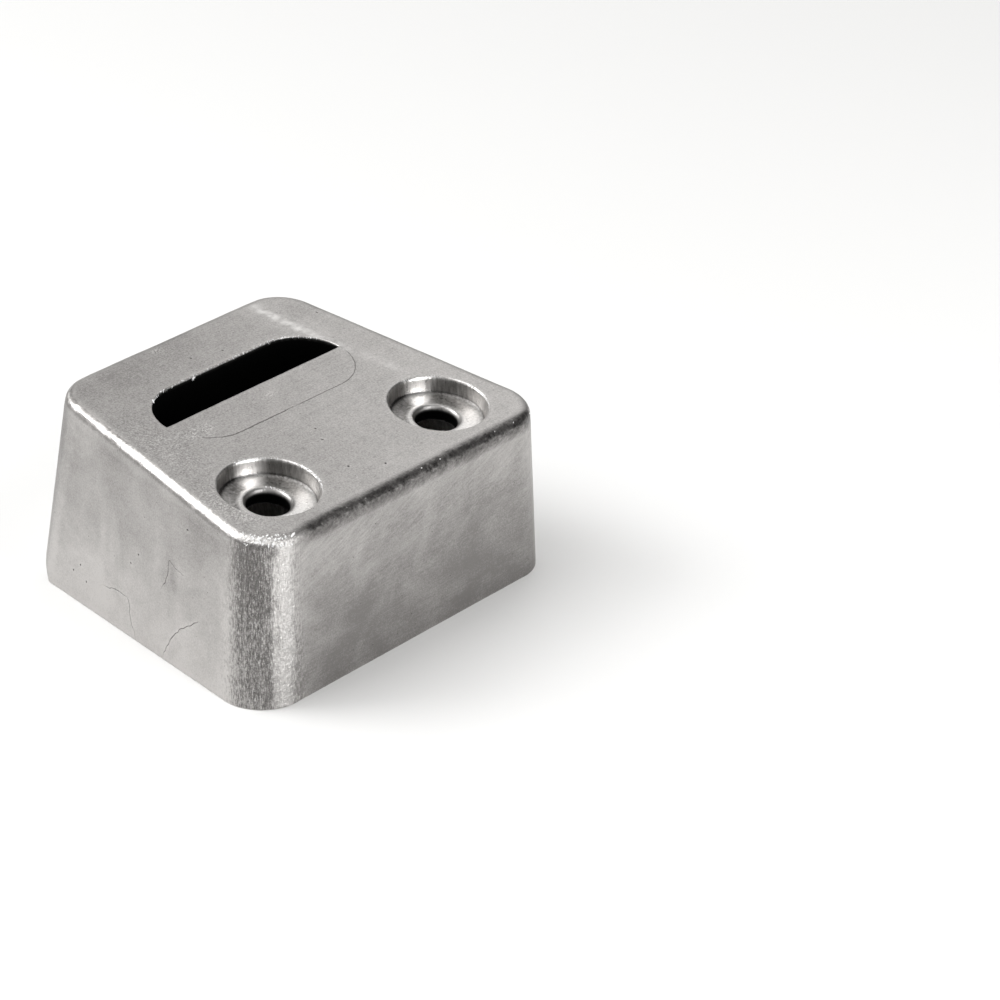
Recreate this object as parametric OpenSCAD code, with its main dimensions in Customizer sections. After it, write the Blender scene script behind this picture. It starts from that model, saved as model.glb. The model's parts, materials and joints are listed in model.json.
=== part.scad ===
// Sacrificial anode: one hollow casting with a ground rim, two counterbored
// screw holes and an offset slot. The rim lies on z = 0, the wide end faces -Y.

/* [Block] */
// Width across the rim at the wide end, measured as if its corners were sharp
rim_w = 66; // [58:0.5:84]
// Length of the rim from the wide end to the narrow end
rim_l = 55.7; // [50:0.1:72]
// Height of the front face over the rim, at mid length
mid_h = 30.2; // [26:0.1:40]
// Slope of the front face, the screw holes and the cavity floor against the rim
face_tilt = 6.9; // [0:0.1:9]
// Angle in plan at which each side runs in towards the narrow end
plan_taper = 8.1; // [3:0.1:10]
// Draft of the two outer side walls
side_draft = 2.6; // [0.5:0.1:4]
// Draft of the outer wall at the wide end
wide_draft = 1.2; // [0.5:0.1:4]
// Draft of the outer wall at the narrow end
narrow_draft = 7.8; // [1:0.1:10]
// Radius of the two upright corners at the wide end, at the rim
wide_corner_r = 7; // [4:0.2:10]
// Radius of the two upright corners at the narrow end, at the rim
narrow_corner_r = 4; // [3:0.2:8]
// Radius of the wide end's corners at the front face
wide_face_r = 6.7; // [4:0.1:10]
// Radius of the narrow end's corners at the front face
narrow_face_r = 7.1; // [4:0.1:10]
// Radius that rolls the edge of the front face over
edge_r = 1.6; // [0.6:0.1:3]
// Depth of the flat knocked on one narrow rim corner, past the corner's rounding
clip_depth = 1; // [0.2:0.1:2]
// Lean of that flat against the upright
clip_lean = 11; // [5:1:40]

/* [Cavity] */
// Width of the rim along the two sides
side_rim = 3.5; // [2.5:0.1:6]
// Width of the rim at the wide end
wide_rim = 6.9; // [5:0.1:9]
// Width of the rim at the narrow end
narrow_rim = 7.5; // [5:0.1:9]
// Thickness of the front plate between the cavity floor and the front face
plate_t = 16.3; // [13:0.1:18]
// Draft of the cavity's side walls
inner_side_draft = 5.8; // [1:0.1:8]
// Draft of the cavity wall at the wide end
inner_wide_draft = 2; // [0.5:0.1:6]
// Draft of the cavity wall at the narrow end
inner_narrow_draft = 11; // [2:0.1:13]
// Radius of the cavity's corners at the wide end
inner_wide_r = 7.6; // [4:0.2:9]
// Radius of the cavity's corners at the narrow end
inner_narrow_r = 3.8; // [2.5:0.1:6]
// Radius between the cavity's floor and its walls
floor_r = 0.8; // [0.4:0.1:1.6]

/* [Screw holes] */
// Distance between the two screw holes
hole_pitch = 36.1; // [30:0.1:38]
// Distance of the holes from the middle of the block, towards the wide end
hole_back = 16.2; // [13:0.1:17]
// Diameter of the through hole, clear of an M6 screw
hole_d = 6.5; // [5:0.1:8]
// Diameter of the counterbore at the front face
cbore_d = 15.3; // [13:0.1:17]
// Depth of the counterbore's dished seat at its deepest
cbore_depth = 2.8; // [2:0.1:4]
// Depth of the witness line on the counterbore's wall
cbore_line = 2.4; // [1.2:0.1:2.6]
// Diameter of the counterbore below its witness line
seat_d = 14.2; // [12:0.1:14.6]
// Diameter of the bevel at the through hole's mouth
mouth_d = 7.5; // [7:0.1:9.5]
// Rise of the seat from its deepest ring to that bevel
seat_rise = 0.2; // [0.1:0.1:0.9]
// Depth of the bevel at the through hole's mouth
mouth_bevel = 0.6; // [0.3:0.1:1.2]
// Thickness of the web between the counterbore and the rear pocket
web_t = 2.2; // [1.2:0.1:4]
// Diameter of the rear pocket at the cavity floor
pocket_d = 16.4; // [14:0.1:17]
// Diameter of the rear pocket below its rounded mouth, near its bottom
pocket_end_d = 14.9; // [13:0.1:16]
// Radius between the rear pocket's wall and its bottom
pocket_r = 2.6; // [0.5:0.1:3.5]
// Rounding of the rear pocket's mouth
mouth_r = 0.5; // [0.2:0.1:0.8]

/* [Slot] */
// Distance of the slot from the middle of the block, towards the narrow end
slot_fwd = 4.6; // [3:0.1:6]
// Length of the slot from end to end
slot_l = 36.8; // [30:0.1:38]
// Width of the slot's outline
slot_w = 15.6; // [12:0.1:16.5]
// Draft of the slot's walls, from each mouth to mid depth
slot_draft = 0.8; // [0:0.1:2]
// Thickness of the front shelf at its free edge
front_shelf_t = 1.2; // [0.8:0.1:3]
// Thickness of the front shelf where it leaves the wall
front_root_t = 1.9; // [0.8:0.1:5]
// Thickness of the rear shelf
rear_shelf_t = 5.4; // [3:0.1:7]
// Bevel on the inner edge of the rear shelf
rear_bevel = 2; // [0.5:0.1:2.8]
// Step between the free edges of the two shelves
shelf_step = 0.3; // [0:0.1:1]

/* [Hidden] */

facets = 32;
round_facets = 64;
over = 1;                                  // how far each cut runs past its face
lap = 0.3;                                 // how far the rear pockets run into the cavity
line_step = 0.1;                           // step at the witness lines of the round bores

plan_k = tan(plan_taper);                  // side wall's run-in per length
plan_n = sqrt(1 + plan_k * plan_k);
tilt_m = tan(face_tilt);                   // rise of the front face per length
rim_s = rim_w / 2 - plan_k * rim_l / 2;    // half width of the rim at mid length

// Outline of the front face, seen from above: half width face_s - face_k * y
face_s = rim_s - plan_n * tan(side_draft) * mid_h;
face_k = plan_k + plan_n * tan(side_draft) * tilt_m;
face_y0 = (-rim_l / 2 + mid_h * tan(wide_draft)) / (1 - tilt_m * tan(wide_draft));
face_y1 = (rim_l / 2 - mid_h * tan(narrow_draft)) / (1 + tilt_m * tan(narrow_draft));

// Outline of the cavity floor, seen from above
floor_z = mid_h - plate_t / cos(face_tilt);
mouth_s = rim_s - plan_n * side_rim;
floor_s = mouth_s - plan_n * tan(inner_side_draft) * floor_z;
floor_k = plan_k + plan_n * tan(inner_side_draft) * tilt_m;
mouth_y0 = -rim_l / 2 + wide_rim;
mouth_y1 = rim_l / 2 - narrow_rim;
floor_y0 = (mouth_y0 + floor_z * tan(inner_wide_draft)) / (1 - tilt_m * tan(inner_wide_draft));
floor_y1 = (mouth_y1 - floor_z * tan(inner_narrow_draft)) / (1 + tilt_m * tan(inner_narrow_draft));

pocket_depth = cbore_depth + web_t;        // bottom of the rear pocket under the front face
shelf_gap_z = -plate_t + rear_shelf_t;     // top of the rear shelf

// Places its children on the front face, which slopes with the block
module on_face() {
    translate([0, 0, mid_h]) rotate([face_tilt, 0, 0]) children();
}

// Half width of an outline at y, less the room that a corner of radius r takes
function corner_x(s, k, y, r) = s - k * y - r * sqrt(1 + k * k);

// Four children-sized corners of a drafted outline, two wide and two narrow
module four_corners(s, k, y0, y1, r0, r1) {
    for (side = [-1, 1]) {
        translate([side * corner_x(s, k, y0 + r0, r0), y0 + r0, 0]) children(0);
        translate([side * corner_x(s, k, y1 - r1, r1), y1 - r1, 0]) children(1);
    }
}

// Thin disc that starts or ends a corner post
module disc(r) {
    cylinder(r = r, h = 0.01, $fn = facets);
}

// Disc of radius r whose upper edge is rolled over by radius e
module rolled_disc(r, e) {
    rotate_extrude($fn = facets)
        intersection() {
            union() {
                translate([0, -e]) square([r - e, e]);
                translate([r - e, -e]) circle(r = e, $fn = facets);
            }
            translate([0, -e]) square([r, e]);
        }
}

// Outer form: rim outline below, sloping front face with a rolled edge above
module outer_form() {
    c = cos(face_tilt);
    hull() {
        four_corners(rim_s, plan_k, -rim_l / 2, rim_l / 2, wide_corner_r, narrow_corner_r) {
            disc(wide_corner_r);
            disc(narrow_corner_r);
        }
        on_face()
            four_corners(face_s, face_k * c, face_y0 / c, face_y1 / c, wide_face_r, narrow_face_r) {
                rolled_disc(wide_face_r, edge_r);
                rolled_disc(narrow_face_r, edge_r);
            }
    }
}

// Hollow under the front plate, open at the rim
module cavity() {
    c = cos(face_tilt);
    hull() {
        translate([0, 0, -over])
            four_corners(
                mouth_s + plan_n * tan(inner_side_draft) * over, plan_k,
                mouth_y0 - tan(inner_wide_draft) * over, mouth_y1 + tan(inner_narrow_draft) * over,
                inner_wide_r, inner_narrow_r
            ) {
                disc(inner_wide_r);
                disc(inner_narrow_r);
            }
        on_face() translate([0, -plate_t * tilt_m, -plate_t])
            four_corners(floor_s, floor_k * c, floor_y0 / c, floor_y1 / c, inner_wide_r, inner_narrow_r) {
                rolled_disc(inner_wide_r, floor_r);
                rolled_disc(inner_narrow_r, floor_r);
            }
    }
}

// Front counterbore with its witness line, dished seat, bevelled mouth and through hole
module screw_hole() {
    r = hole_d / 2;
    mouth = mouth_d / 2;
    mouth_z = -cbore_depth + seat_rise;
    seat_r = seat_d / 2;
    dish = seat_r - mouth;
    line_z = -cbore_line;
    fall = cbore_depth - cbore_line;
    rotate_extrude($fn = round_facets)
        polygon([
            [0, over], [cbore_d / 2 + over * 0.1, over], [cbore_d / 2 + 0.1, 0],
            [cbore_d / 2 - 0.1, -0.25], [seat_r + 0.1, line_z], [seat_r, line_z - 0.05],
            [seat_r - 0.06 * dish, line_z - 0.5 * fall], [seat_r - 0.2 * dish, line_z - 0.85 * fall],
            [seat_r - 0.4 * dish, -cbore_depth], [mouth + 0.3 * dish, -cbore_depth],
            [mouth + 0.14 * dish, mouth_z - 0.6 * seat_rise], [mouth, mouth_z],
            [r, mouth_z - mouth_bevel], [r, -pocket_depth - over], [0, -pocket_depth - over]
        ]);
}

// Deep round pocket behind a screw hole, with a rounded bottom
module rear_pocket() {
    r0 = pocket_d / 2;
    r1 = pocket_end_d / 2;
    line_z = -pocket_depth - pocket_r;
    bowl_r = r1 - line_step;
    rotate_extrude($fn = round_facets) {
        polygon([
            [0, -plate_t - lap], [r0 + mouth_r, -plate_t - lap], [r0 + mouth_r, -plate_t],
            [r0 + 0.3 * mouth_r, -plate_t + 0.3 * mouth_r], [r0, -plate_t + mouth_r],
            [r1, line_z], [0, line_z]
        ]);
        translate([0, line_z - line_step]) square([bowl_r - pocket_r, pocket_r + line_step]);
        intersection() {
            translate([bowl_r - pocket_r, line_z]) circle(r = pocket_r, $fn = round_facets);
            translate([0, line_z - line_step]) square([bowl_r, pocket_r + line_step]);
        }
    }
}

// Room of the cavity carried on upwards, which the rear pockets stay inside
module over_cavity() {
    lean = inner_wide_draft;
    translate([-rim_w, mouth_y0, 0])
        multmatrix([[1, 0, 0, 0], [0, 1, tan(lean), 0], [0, 0, 1, 0]])
            translate([0, 0, -over]) cube([2 * rim_w, rim_l, mid_h + rim_l]);
}

// Stadium-shaped bar that narrows from both of its ends to mid depth
module slot_bar() {
    r = slot_w / 2;
    half = plate_t / 2 + over;
    mid_r = r - half * tan(slot_draft);
    side = [[r, -half], [r, half], [0, half], [0, -half]];
    ring = [[0, -half], [r, -half], [mid_r, 0], [r, half], [0, half]];
    span = [[-r, -half], [r, -half], [mid_r, 0], [r, half], [-r, half], [-mid_r, 0]];
    translate([0, 0, -plate_t / 2]) {
        for (end = [-1, 1])
            translate([end * (slot_l / 2 - r), 0, 0]) rotate_extrude($fn = round_facets) polygon(ring);
        rotate([90, 0, 90]) linear_extrude(slot_l - 2 * r, center = true) polygon(span);
    }
}

// Way through the plate: in over the rear shelf, sideways, out under the front shelf
module slot_way() {
    w = slot_w / 2 + over;
    intersection() {
        slot_bar();
        rotate([90, 0, 90]) linear_extrude(slot_l + 2 * over, center = true)
            polygon([
                [0, over], [w, over], [w, shelf_gap_z], [shelf_step + rear_bevel, shelf_gap_z],
                [shelf_step, shelf_gap_z - rear_bevel], [shelf_step, -plate_t - over],
                [-w, -plate_t - over], [-w, -front_root_t], [0, -front_shelf_t]
            ]);
    }
}

// Block beyond the flat knocked on the rim corner between the narrow end and one side
module knocked_corner() {
    r = narrow_corner_r;
    room = 4 * r;
    translate([-corner_x(rim_s, plan_k, rim_l / 2 - r, r), rim_l / 2 - r, 0])
        rotate([0, 0, 135 - plan_taper / 2])
            translate([r - clip_depth, 0, 0])
                rotate([0, clip_lean, 0])
                    translate([0, -room / 2, -over]) cube([room, room, room]);
}

module anode_block() {
    color("silver")
        difference() {
            outer_form();
            cavity();
            knocked_corner();
            on_face() {
                for (side = [-1, 1])
                    translate([side * hole_pitch / 2, -hole_back, 0]) screw_hole();
                translate([0, slot_fwd, 0]) slot_way();
            }
            intersection() {
                on_face()
                    for (side = [-1, 1])
                        translate([side * hole_pitch / 2, -hole_back, 0]) rear_pocket();
                over_cavity();
            }
        }
}

anode_block();
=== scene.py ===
"""Sacrificial anode: the finished casting, its metal, and a pale studio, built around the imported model.

Lengths inside the classes are millimetres in the part's own frame, and become metres when a mesh is made.
"""

import json
import logging
import math
from collections.abc import Callable, Sequence
from dataclasses import dataclass, field
from enum import Enum
from functools import partial

import bmesh
import bpy
import numpy as np
from bpy.types import ID, Material, Mesh, Node, NodeSocket, NodeTree, Object
from mathutils import Matrix, Vector
from mathutils.geometry import delaunay_2d_cdt

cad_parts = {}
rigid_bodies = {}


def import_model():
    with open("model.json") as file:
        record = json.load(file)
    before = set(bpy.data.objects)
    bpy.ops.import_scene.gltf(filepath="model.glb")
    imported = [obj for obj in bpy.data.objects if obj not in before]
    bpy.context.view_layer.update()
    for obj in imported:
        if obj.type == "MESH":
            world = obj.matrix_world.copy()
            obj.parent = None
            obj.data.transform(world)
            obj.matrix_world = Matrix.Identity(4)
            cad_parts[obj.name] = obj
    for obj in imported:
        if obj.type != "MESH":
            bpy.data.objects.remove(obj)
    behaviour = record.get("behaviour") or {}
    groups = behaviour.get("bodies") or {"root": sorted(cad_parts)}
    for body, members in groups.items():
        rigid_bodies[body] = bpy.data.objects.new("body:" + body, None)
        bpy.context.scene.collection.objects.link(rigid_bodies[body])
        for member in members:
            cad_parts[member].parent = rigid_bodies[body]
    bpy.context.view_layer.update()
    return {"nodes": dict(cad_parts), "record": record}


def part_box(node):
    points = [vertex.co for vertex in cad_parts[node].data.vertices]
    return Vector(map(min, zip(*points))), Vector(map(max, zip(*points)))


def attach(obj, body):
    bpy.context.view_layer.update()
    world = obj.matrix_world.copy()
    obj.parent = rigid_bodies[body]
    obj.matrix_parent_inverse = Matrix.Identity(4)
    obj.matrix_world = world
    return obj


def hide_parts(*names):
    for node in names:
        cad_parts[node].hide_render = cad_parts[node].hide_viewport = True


LOG = logging.getLogger("anode")
MM = 0.001
TINY = 1e-12  # keeps a product of lengths off zero
SMALL = 1e-9  # keeps a length off zero
BATCH = 1000  # points that are worked on at a time
Array = np.ndarray
Link = tuple[int, int]  # two numbers of a list, such as the ends of an edge
Pair = tuple[float, float]
Colour = tuple[float, float, float]
Spot = tuple[float, float, float]  # a place or a direction


class Zone(Enum):
    """Kinds of surface on the casting."""

    FACE = 0
    SHELL = 1
    RIM = 2
    FLOOR = 3
    WALL = 4
    BORE = 5
    POCKET = 6
    SLOT = 7


@dataclass(frozen=True)
class BlockForm:
    """Sizes of the block that tell one surface of the casting from another, in mm.

    Heights are counted from the front face, downwards as negative numbers, square to that sloping face.

    Attributes:
        tilt: the front face's slope in radians.
        hole_pitch: distance between the two screw holes.
        face_height: height of the front face over the ground, at the part's own axis.
        plate: thickness of the front plate.
        hole_back: how far down the slope the screw holes lie.
        bore_r: radius of a counterbore.
        corner_at: middle of the scuffed corner's round, across and up the slope.
        pocket_top: height of the web over a rear pocket.
        pocket_r: radius of a rear pocket.
        slot_fwd: how far up the slope the slot's middle lies.
        slot_half_l: half the slot's length.
        slot_r: radius of the slot's rounded ends.
        shelf_step: how far the rear shelf's free edge lies up the slope from the slot's middle.
        rim_half: half the rim's width on the part's own axis.
        plan_slope: how fast a side wall comes in along the block.
        side_lean: how fast a side wall comes in with height.
    """

    tilt: float
    hole_pitch: float
    face_height: float = 30.2
    plate: float = 16.3
    hole_back: float = 16.2
    bore_r: float = 7.65
    corner_at: Pair = (-23.92, -20.79)
    pocket_top: float = -5.0
    pocket_r: float = 8.2
    slot_fwd: float = 4.6
    slot_half_l: float = 18.4
    slot_r: float = 7.8
    shelf_step: float = 0.3
    rim_half: float = 29.04
    plan_slope: float = 0.1423
    side_lean: float = 0.0459

    @classmethod
    def from_record(cls, record: dict) -> "BlockForm":
        """Reads the slope and the screw holes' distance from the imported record."""
        holes = next(m for m in record["mounts"] if m["name"] == "screw_holes")
        return cls(math.atan2(-holes["axis"][1], holes["axis"][2]), holes["dims"]["pcd_mm"])

    @property
    def face_normal(self) -> Array:
        """Direction square to the front face."""
        return np.array([0.0, -math.sin(self.tilt), math.cos(self.tilt)])

    def to_local(self, points: Array) -> Array:
        """Turns points into across, up the slope, and height over the front face."""
        c, s = math.cos(self.tilt), math.sin(self.tilt)
        y, z = points[:, 1], points[:, 2] - self.face_height
        return np.stack([points[:, 0], y * c + z * s, z * c - y * s], axis=1)

    def to_part(self, local: Array) -> Array:
        """Turns points on the slope's own axes back into the part's frame."""
        c, s = math.cos(self.tilt), math.sin(self.tilt)
        v, w = local[:, 1], local[:, 2]
        return np.stack([local[:, 0], v * c - w * s, self.face_height + v * s + w * c], axis=1)

    def hole_distance(self, local: Array) -> Array:
        """Distance of local points from the nearer screw hole's axis."""
        across = np.abs(np.abs(local[:, 0]) - self.hole_pitch / 2)
        return np.hypot(across, local[:, 1] + self.hole_back)

    def slot_distance(self, local: Array) -> Array:
        """Distance of local points from the slot's outline, negative inside it."""
        across = np.maximum(np.abs(local[:, 0]) - (self.slot_half_l - self.slot_r), 0)
        return np.hypot(across, local[:, 1] - self.slot_fwd) - self.slot_r

    def zone_of(self, centre: Array, normal: Array) -> Zone:
        """Names the surface that a flat panel belongs to.

        Args:
            centre: the panel's middle, in the part's frame.
            normal: the panel's outward direction.

        Returns:
            The zone of the panel.
        """
        flat, upward = 0.9995, 0.3
        slack, rim_slack, face_slack = 0.05, 0.02, 0.6
        bore_room, pocket_room, bowl_room, slot_room = 0.4, 0.9, 0.35, 0.15
        local = self.to_local(centre[None])
        w = local[0, 2]
        up = float(normal @ self.face_normal)
        hole = self.hole_distance(local)[0]
        if normal[2] < -flat and abs(centre[2]) < rim_slack:
            return Zone.RIM
        if up > flat and w > -face_slack:
            return Zone.FACE
        if up < -flat and abs(w + self.plate) < slack:
            return Zone.FLOOR
        if hole < self.bore_r + bore_room and w > self.pocket_top - slack:
            return Zone.BORE
        if hole < self.pocket_r + pocket_room and self.pocket_top >= w > -self.plate - bowl_room:
            return Zone.POCKET
        if self.slot_distance(local)[0] < slot_room and -self.plate - slack < w < rim_slack:
            return Zone.SLOT
        outward = float(normal[0] * centre[0] + normal[1] * centre[1])
        return Zone.SHELL if outward > 0 or up > upward else Zone.WALL


class Noise:
    """Smooth repeatable noise for moving points of a mesh."""

    AXIS_PRIMES = (73856093, 19349663, 83492791)
    SEED_PRIME, SALT_PRIME = 7919, 104729
    STIRS = ((13, 0x5BD1E995), (15, 0x27D4EB2D))
    TOP = 0xFFFFFF
    GAIN = 1.6

    def __init__(self, seed: int) -> None:
        """Keeps the seed that all of this noise starts from."""
        self.seed = seed

    def _hash(self, cell: Array, salt: int) -> Array:
        """Gives each lattice cell a number from 0 to 1.

        Args:
            cell: the cells, by their numbers.
            salt: picks another set of numbers.

        Returns:
            One number for each cell.
        """
        c = cell.astype(np.int64).astype(np.uint64)
        h = np.uint64((self.seed * self.SEED_PRIME + salt * self.SALT_PRIME) & 0xFFFFFFFF)
        for axis, prime in enumerate(self.AXIS_PRIMES):
            h = h ^ c[..., axis] * np.uint64(prime)
        for shift, factor in self.STIRS:
            h = (h ^ (h >> np.uint64(shift))) * np.uint64(factor)
        return ((h >> np.uint64(8)) & np.uint64(self.TOP)).astype(float) / self.TOP

    def smooth(self, points: Array, size: float | Sequence[float], salt: int = 0) -> Array:
        """Gradient noise between about -1 and 1.

        Args:
            points: places to sample, in mm.
            size: size of the pattern in mm, one number or one for each axis.
            salt: picks another pattern of the same kind.

        Returns:
            One value for each point.
        """
        p = points / np.asarray(size, float)
        base = np.floor(p)
        f = p - base
        fade = f * f * f * (f * (f * 6 - 15) + 10)
        total = np.zeros(len(p))
        for corner in np.ndindex(2, 2, 2):
            cell = base + corner
            away = f - corner
            dot = sum((self._hash(cell, salt * 3 + k) * 2 - 1) * away[:, k] for k in range(3))
            weight = np.prod(np.where(np.array(corner) == 1, fade, 1 - fade), axis=1)
            total += dot * weight
        return total * self.GAIN

    def rough(self, points: Array, size: float | Sequence[float], octaves: int = 3, salt: int = 0) -> Array:
        """Layers of gradient noise, each half the size and half the strength of the last.

        Args:
            points: places to sample, in mm.
            size: size of the largest pattern in mm.
            octaves: how many layers there are.
            salt: picks another pattern.

        Returns:
            One value for each point.
        """
        total = np.zeros(len(points))
        for k in range(octaves):
            total += self.smooth(points, np.asarray(size, float) / 2**k, salt + 11 * k) / 2**k
        return total

    def cells(self, points: Array, size: float, salt: int = 0) -> Array:
        """Distance to the nearest cell centre, counted in cells.

        Args:
            points: places to sample, in mm.
            size: size of a cell in mm.
            salt: picks another pattern of the same kind.

        Returns:
            One value for each point.
        """
        p = points / size
        base = np.floor(p)
        nearest = np.full(len(p), np.inf)
        for step in np.ndindex(3, 3, 3):
            cell = base + step - 1
            centre = cell + np.stack([self._hash(cell, salt * 5 + k) for k in range(3)], axis=1)
            nearest = np.minimum(nearest, np.linalg.norm(p - centre, axis=1))
        return nearest


def ramp(x: Array, low: float, high: float) -> Array:
    """Smooth step from 0 at low to 1 at high."""
    t = np.clip((x - low) / (high - low), 0, 1)
    return t * t * (3 - 2 * t)


def unit_rows(rows: Array) -> Array:
    """Brings each row of numbers to length 1."""
    return rows / np.maximum(np.linalg.norm(rows, axis=1), TINY)[:, None]


def square_to(ways: Array) -> Array:
    """Turns directions on a plane by a quarter to the left, at length 1."""
    return unit_rows(np.stack([-ways[:, 1], ways[:, 0]], axis=1))


def in_batches(work: Callable[[Array], Array], p: Array) -> Array:
    """Works a batch of points at a time, so that a table of points by segments stays small."""
    return np.concatenate([work(p[at : at + BATCH]) for at in range(0, max(len(p), 1), BATCH)])


@dataclass(frozen=True)
class Groove:
    """A hairline crack, flow line or witness line that is cut into one flat surface.

    Attributes:
        zone: the surface that it lies on.
        route: its points on that surface, in mm, in the part's frame.
        width: its width in mm.
        depth: its depth in mm.
        wander: how far it wanders to either side, in mm.
    """

    zone: Zone
    route: tuple[Spot, ...]
    width: float
    depth: float
    wander: float = 0.12


@dataclass(frozen=True)
class Pinhole:
    """A small round gas hole in a flat surface: its zone, place, radius and depth in mm."""

    zone: Zone
    place: Spot
    radius: float
    depth: float


@dataclass
class Panel:
    """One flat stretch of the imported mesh.

    Attributes:
        faces: numbers of its triangles.
        normal: its outward direction.
        zone: the surface that it belongs to.
        pitch: distance between the points that fill it, in mm.
        broad: whether it is a wide flat surface, and not a facet of a curved one.
        rim: the edges that it shares with other panels.
    """

    faces: Array
    normal: Array
    zone: Zone
    pitch: float
    broad: bool
    rim: list[Link] = field(default_factory=list)


@dataclass
class FineMesh:
    """Even triangles over the casting, in mm.

    Attributes:
        verts: the points.
        faces: the triangles.
        zones: zone number of each triangle.
        sharp: 1 where a point lies on a sharp edge of the solid.
        sink: how far each point sinks into the metal, for cracks and pinholes.
    """

    verts: Array
    faces: Array
    zones: Array
    sharp: Array
    sink: Array


class PanelWork:
    """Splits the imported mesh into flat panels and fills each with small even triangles.

    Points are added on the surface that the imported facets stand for, so that it can take dents and cracks.

    Attributes:
        SHARP_ANGLE: bend from which an edge counts as sharp.
        FLAT_ANGLE: bend up to which two triangles lie in one plane.
        ROUND_ANGLE: bend up to which two panels belong to one curved surface.
        COLLARS: distances of the rows of points beside a sharp edge.
        COLLAR_ROOM: length from which an edge takes collars at its ends.
        SHARP_PITCH: widest spacing of points along a sharp edge.
        BROAD: width from which a panel counts as a wide flat surface.
        BROAD_WEIGHT: how much more such a surface's direction counts than its neighbours'.
        WELD: distance within which points are one.
        SLIVER: height of a sliver, as a share of its length.
        MERGE: distance within which two drawn points are one.
    """

    SHARP_ANGLE = math.radians(24)
    FLAT_ANGLE = math.radians(0.5)
    ROUND_ANGLE = math.radians(30)
    COLLARS = (0.13, 0.36)
    COLLAR_ROOM = 0.9
    SHARP_PITCH = 0.36
    BROAD = 3.5
    BROAD_WEIGHT = 1000.0
    WELD = 0.013
    SLIVER = 0.004
    MERGE = 1e-7

    def __init__(self, form: BlockForm, pitch_of: Callable[[Zone, Array], float]) -> None:
        """Keeps the block's form and the rule for point spacing.

        Args:
            form: the block's form.
            pitch_of: the spacing in mm, by zone and place.
        """
        self.form = form
        self.pitch_of = pitch_of
        self.rng = np.random.default_rng(7)
        self.points: list[Array] = []
        self.lifts: list[Array] = []
        self.sharp: list[float] = []
        self.sink: list[float] = []

    def read(self, source: Object) -> tuple[Array, Array]:
        """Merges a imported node's loose triangles into one closed mesh.

        Args:
            source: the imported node.

        Returns:
            Its points in mm and its triangles.
        """
        copy = bmesh.new()
        copy.from_mesh(source.data)
        for vert in copy.verts:
            if vert.co.z < 2 * self.WELD * MM:
                vert.co.z = 0
        bmesh.ops.remove_doubles(copy, verts=copy.verts, dist=self.WELD * MM)
        bmesh.ops.triangulate(copy, faces=copy.faces)
        copy.verts.index_update()
        verts = np.array([v.co[:] for v in copy.verts], float) / MM
        tris = np.array([[v.index for v in f.verts] for f in copy.faces])
        copy.free()
        # two facets that the weld lays on each other both go
        twin, count = np.unique(np.sort(tris, axis=1), axis=0, return_inverse=True, return_counts=True)[1:]
        return verts, tris[count[twin.reshape(-1)] == 1]

    def split(self, verts: Array, tris: Array) -> tuple[list[Panel], dict[Link, list[int]], Array]:
        """Groups triangles that lie in one plane.

        Args:
            verts: the closed mesh's points.
            tris: its triangles.

        Returns:
            The panels, the two triangles on the sides of each edge between panels, and each triangle's panel.
        """
        corner = verts[tris]
        normal = np.cross(corner[:, 1] - corner[:, 0], corner[:, 2] - corner[:, 0])
        area = np.linalg.norm(normal, axis=1)
        normal /= np.maximum(area, TINY)[:, None]
        by_edge: dict[Link, list[int]] = {}
        for t, (a, b, c) in enumerate(tris.tolist()):
            for i, j in ((a, b), (b, c), (c, a)):
                by_edge.setdefault((min(i, j), max(i, j)), []).append(t)
        group = Groups(len(tris))
        flat = math.cos(self.FLAT_ANGLE)
        length = np.linalg.norm(corner - np.roll(corner, -1, axis=1), axis=2)
        sliver = area < length.max(1) * self.SLIVER
        for edge, pair in by_edge.items():
            a, b = pair[0], pair[-1]
            if not sliver[a] and not sliver[b]:
                if normal[a] @ normal[b] > flat:
                    group.join(a, b)
                continue
            reach = np.linalg.norm(verts[edge[0]] - verts[edge[1]])
            if any(sliver[t] and reach > length[t].max() - SMALL for t in (a, b)):
                group.join(a, b)
        panels = []
        owner = np.zeros(len(tris), int)
        for members in group.sets():
            ids = np.array(members)
            weight = np.where(sliver[ids], SMALL, area[ids])[:, None]
            out = (normal[ids] * weight).sum(0)
            out /= np.linalg.norm(out)
            centre = (corner[ids].mean(1) * weight).sum(0) / max(weight.sum(), TINY)
            zone = self.form.zone_of(centre, out)
            along, across = plane_axes(out)
            spread = corner[ids].reshape(-1, 3) - centre
            extent = min(np.ptp(spread @ along), np.ptp(spread @ across))
            owner[ids] = len(panels)
            panels.append(Panel(ids, out, zone, self.pitch_of(zone, centre), extent > self.BROAD))
        sides = {}
        for edge, pair in by_edge.items():
            a, b = owner[pair[0]], owner[pair[-1]]
            if a != b:
                sides[edge] = pair
                panels[a].rim.append(edge)
                panels[b].rim.append(edge)
        return panels, sides, owner

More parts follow.
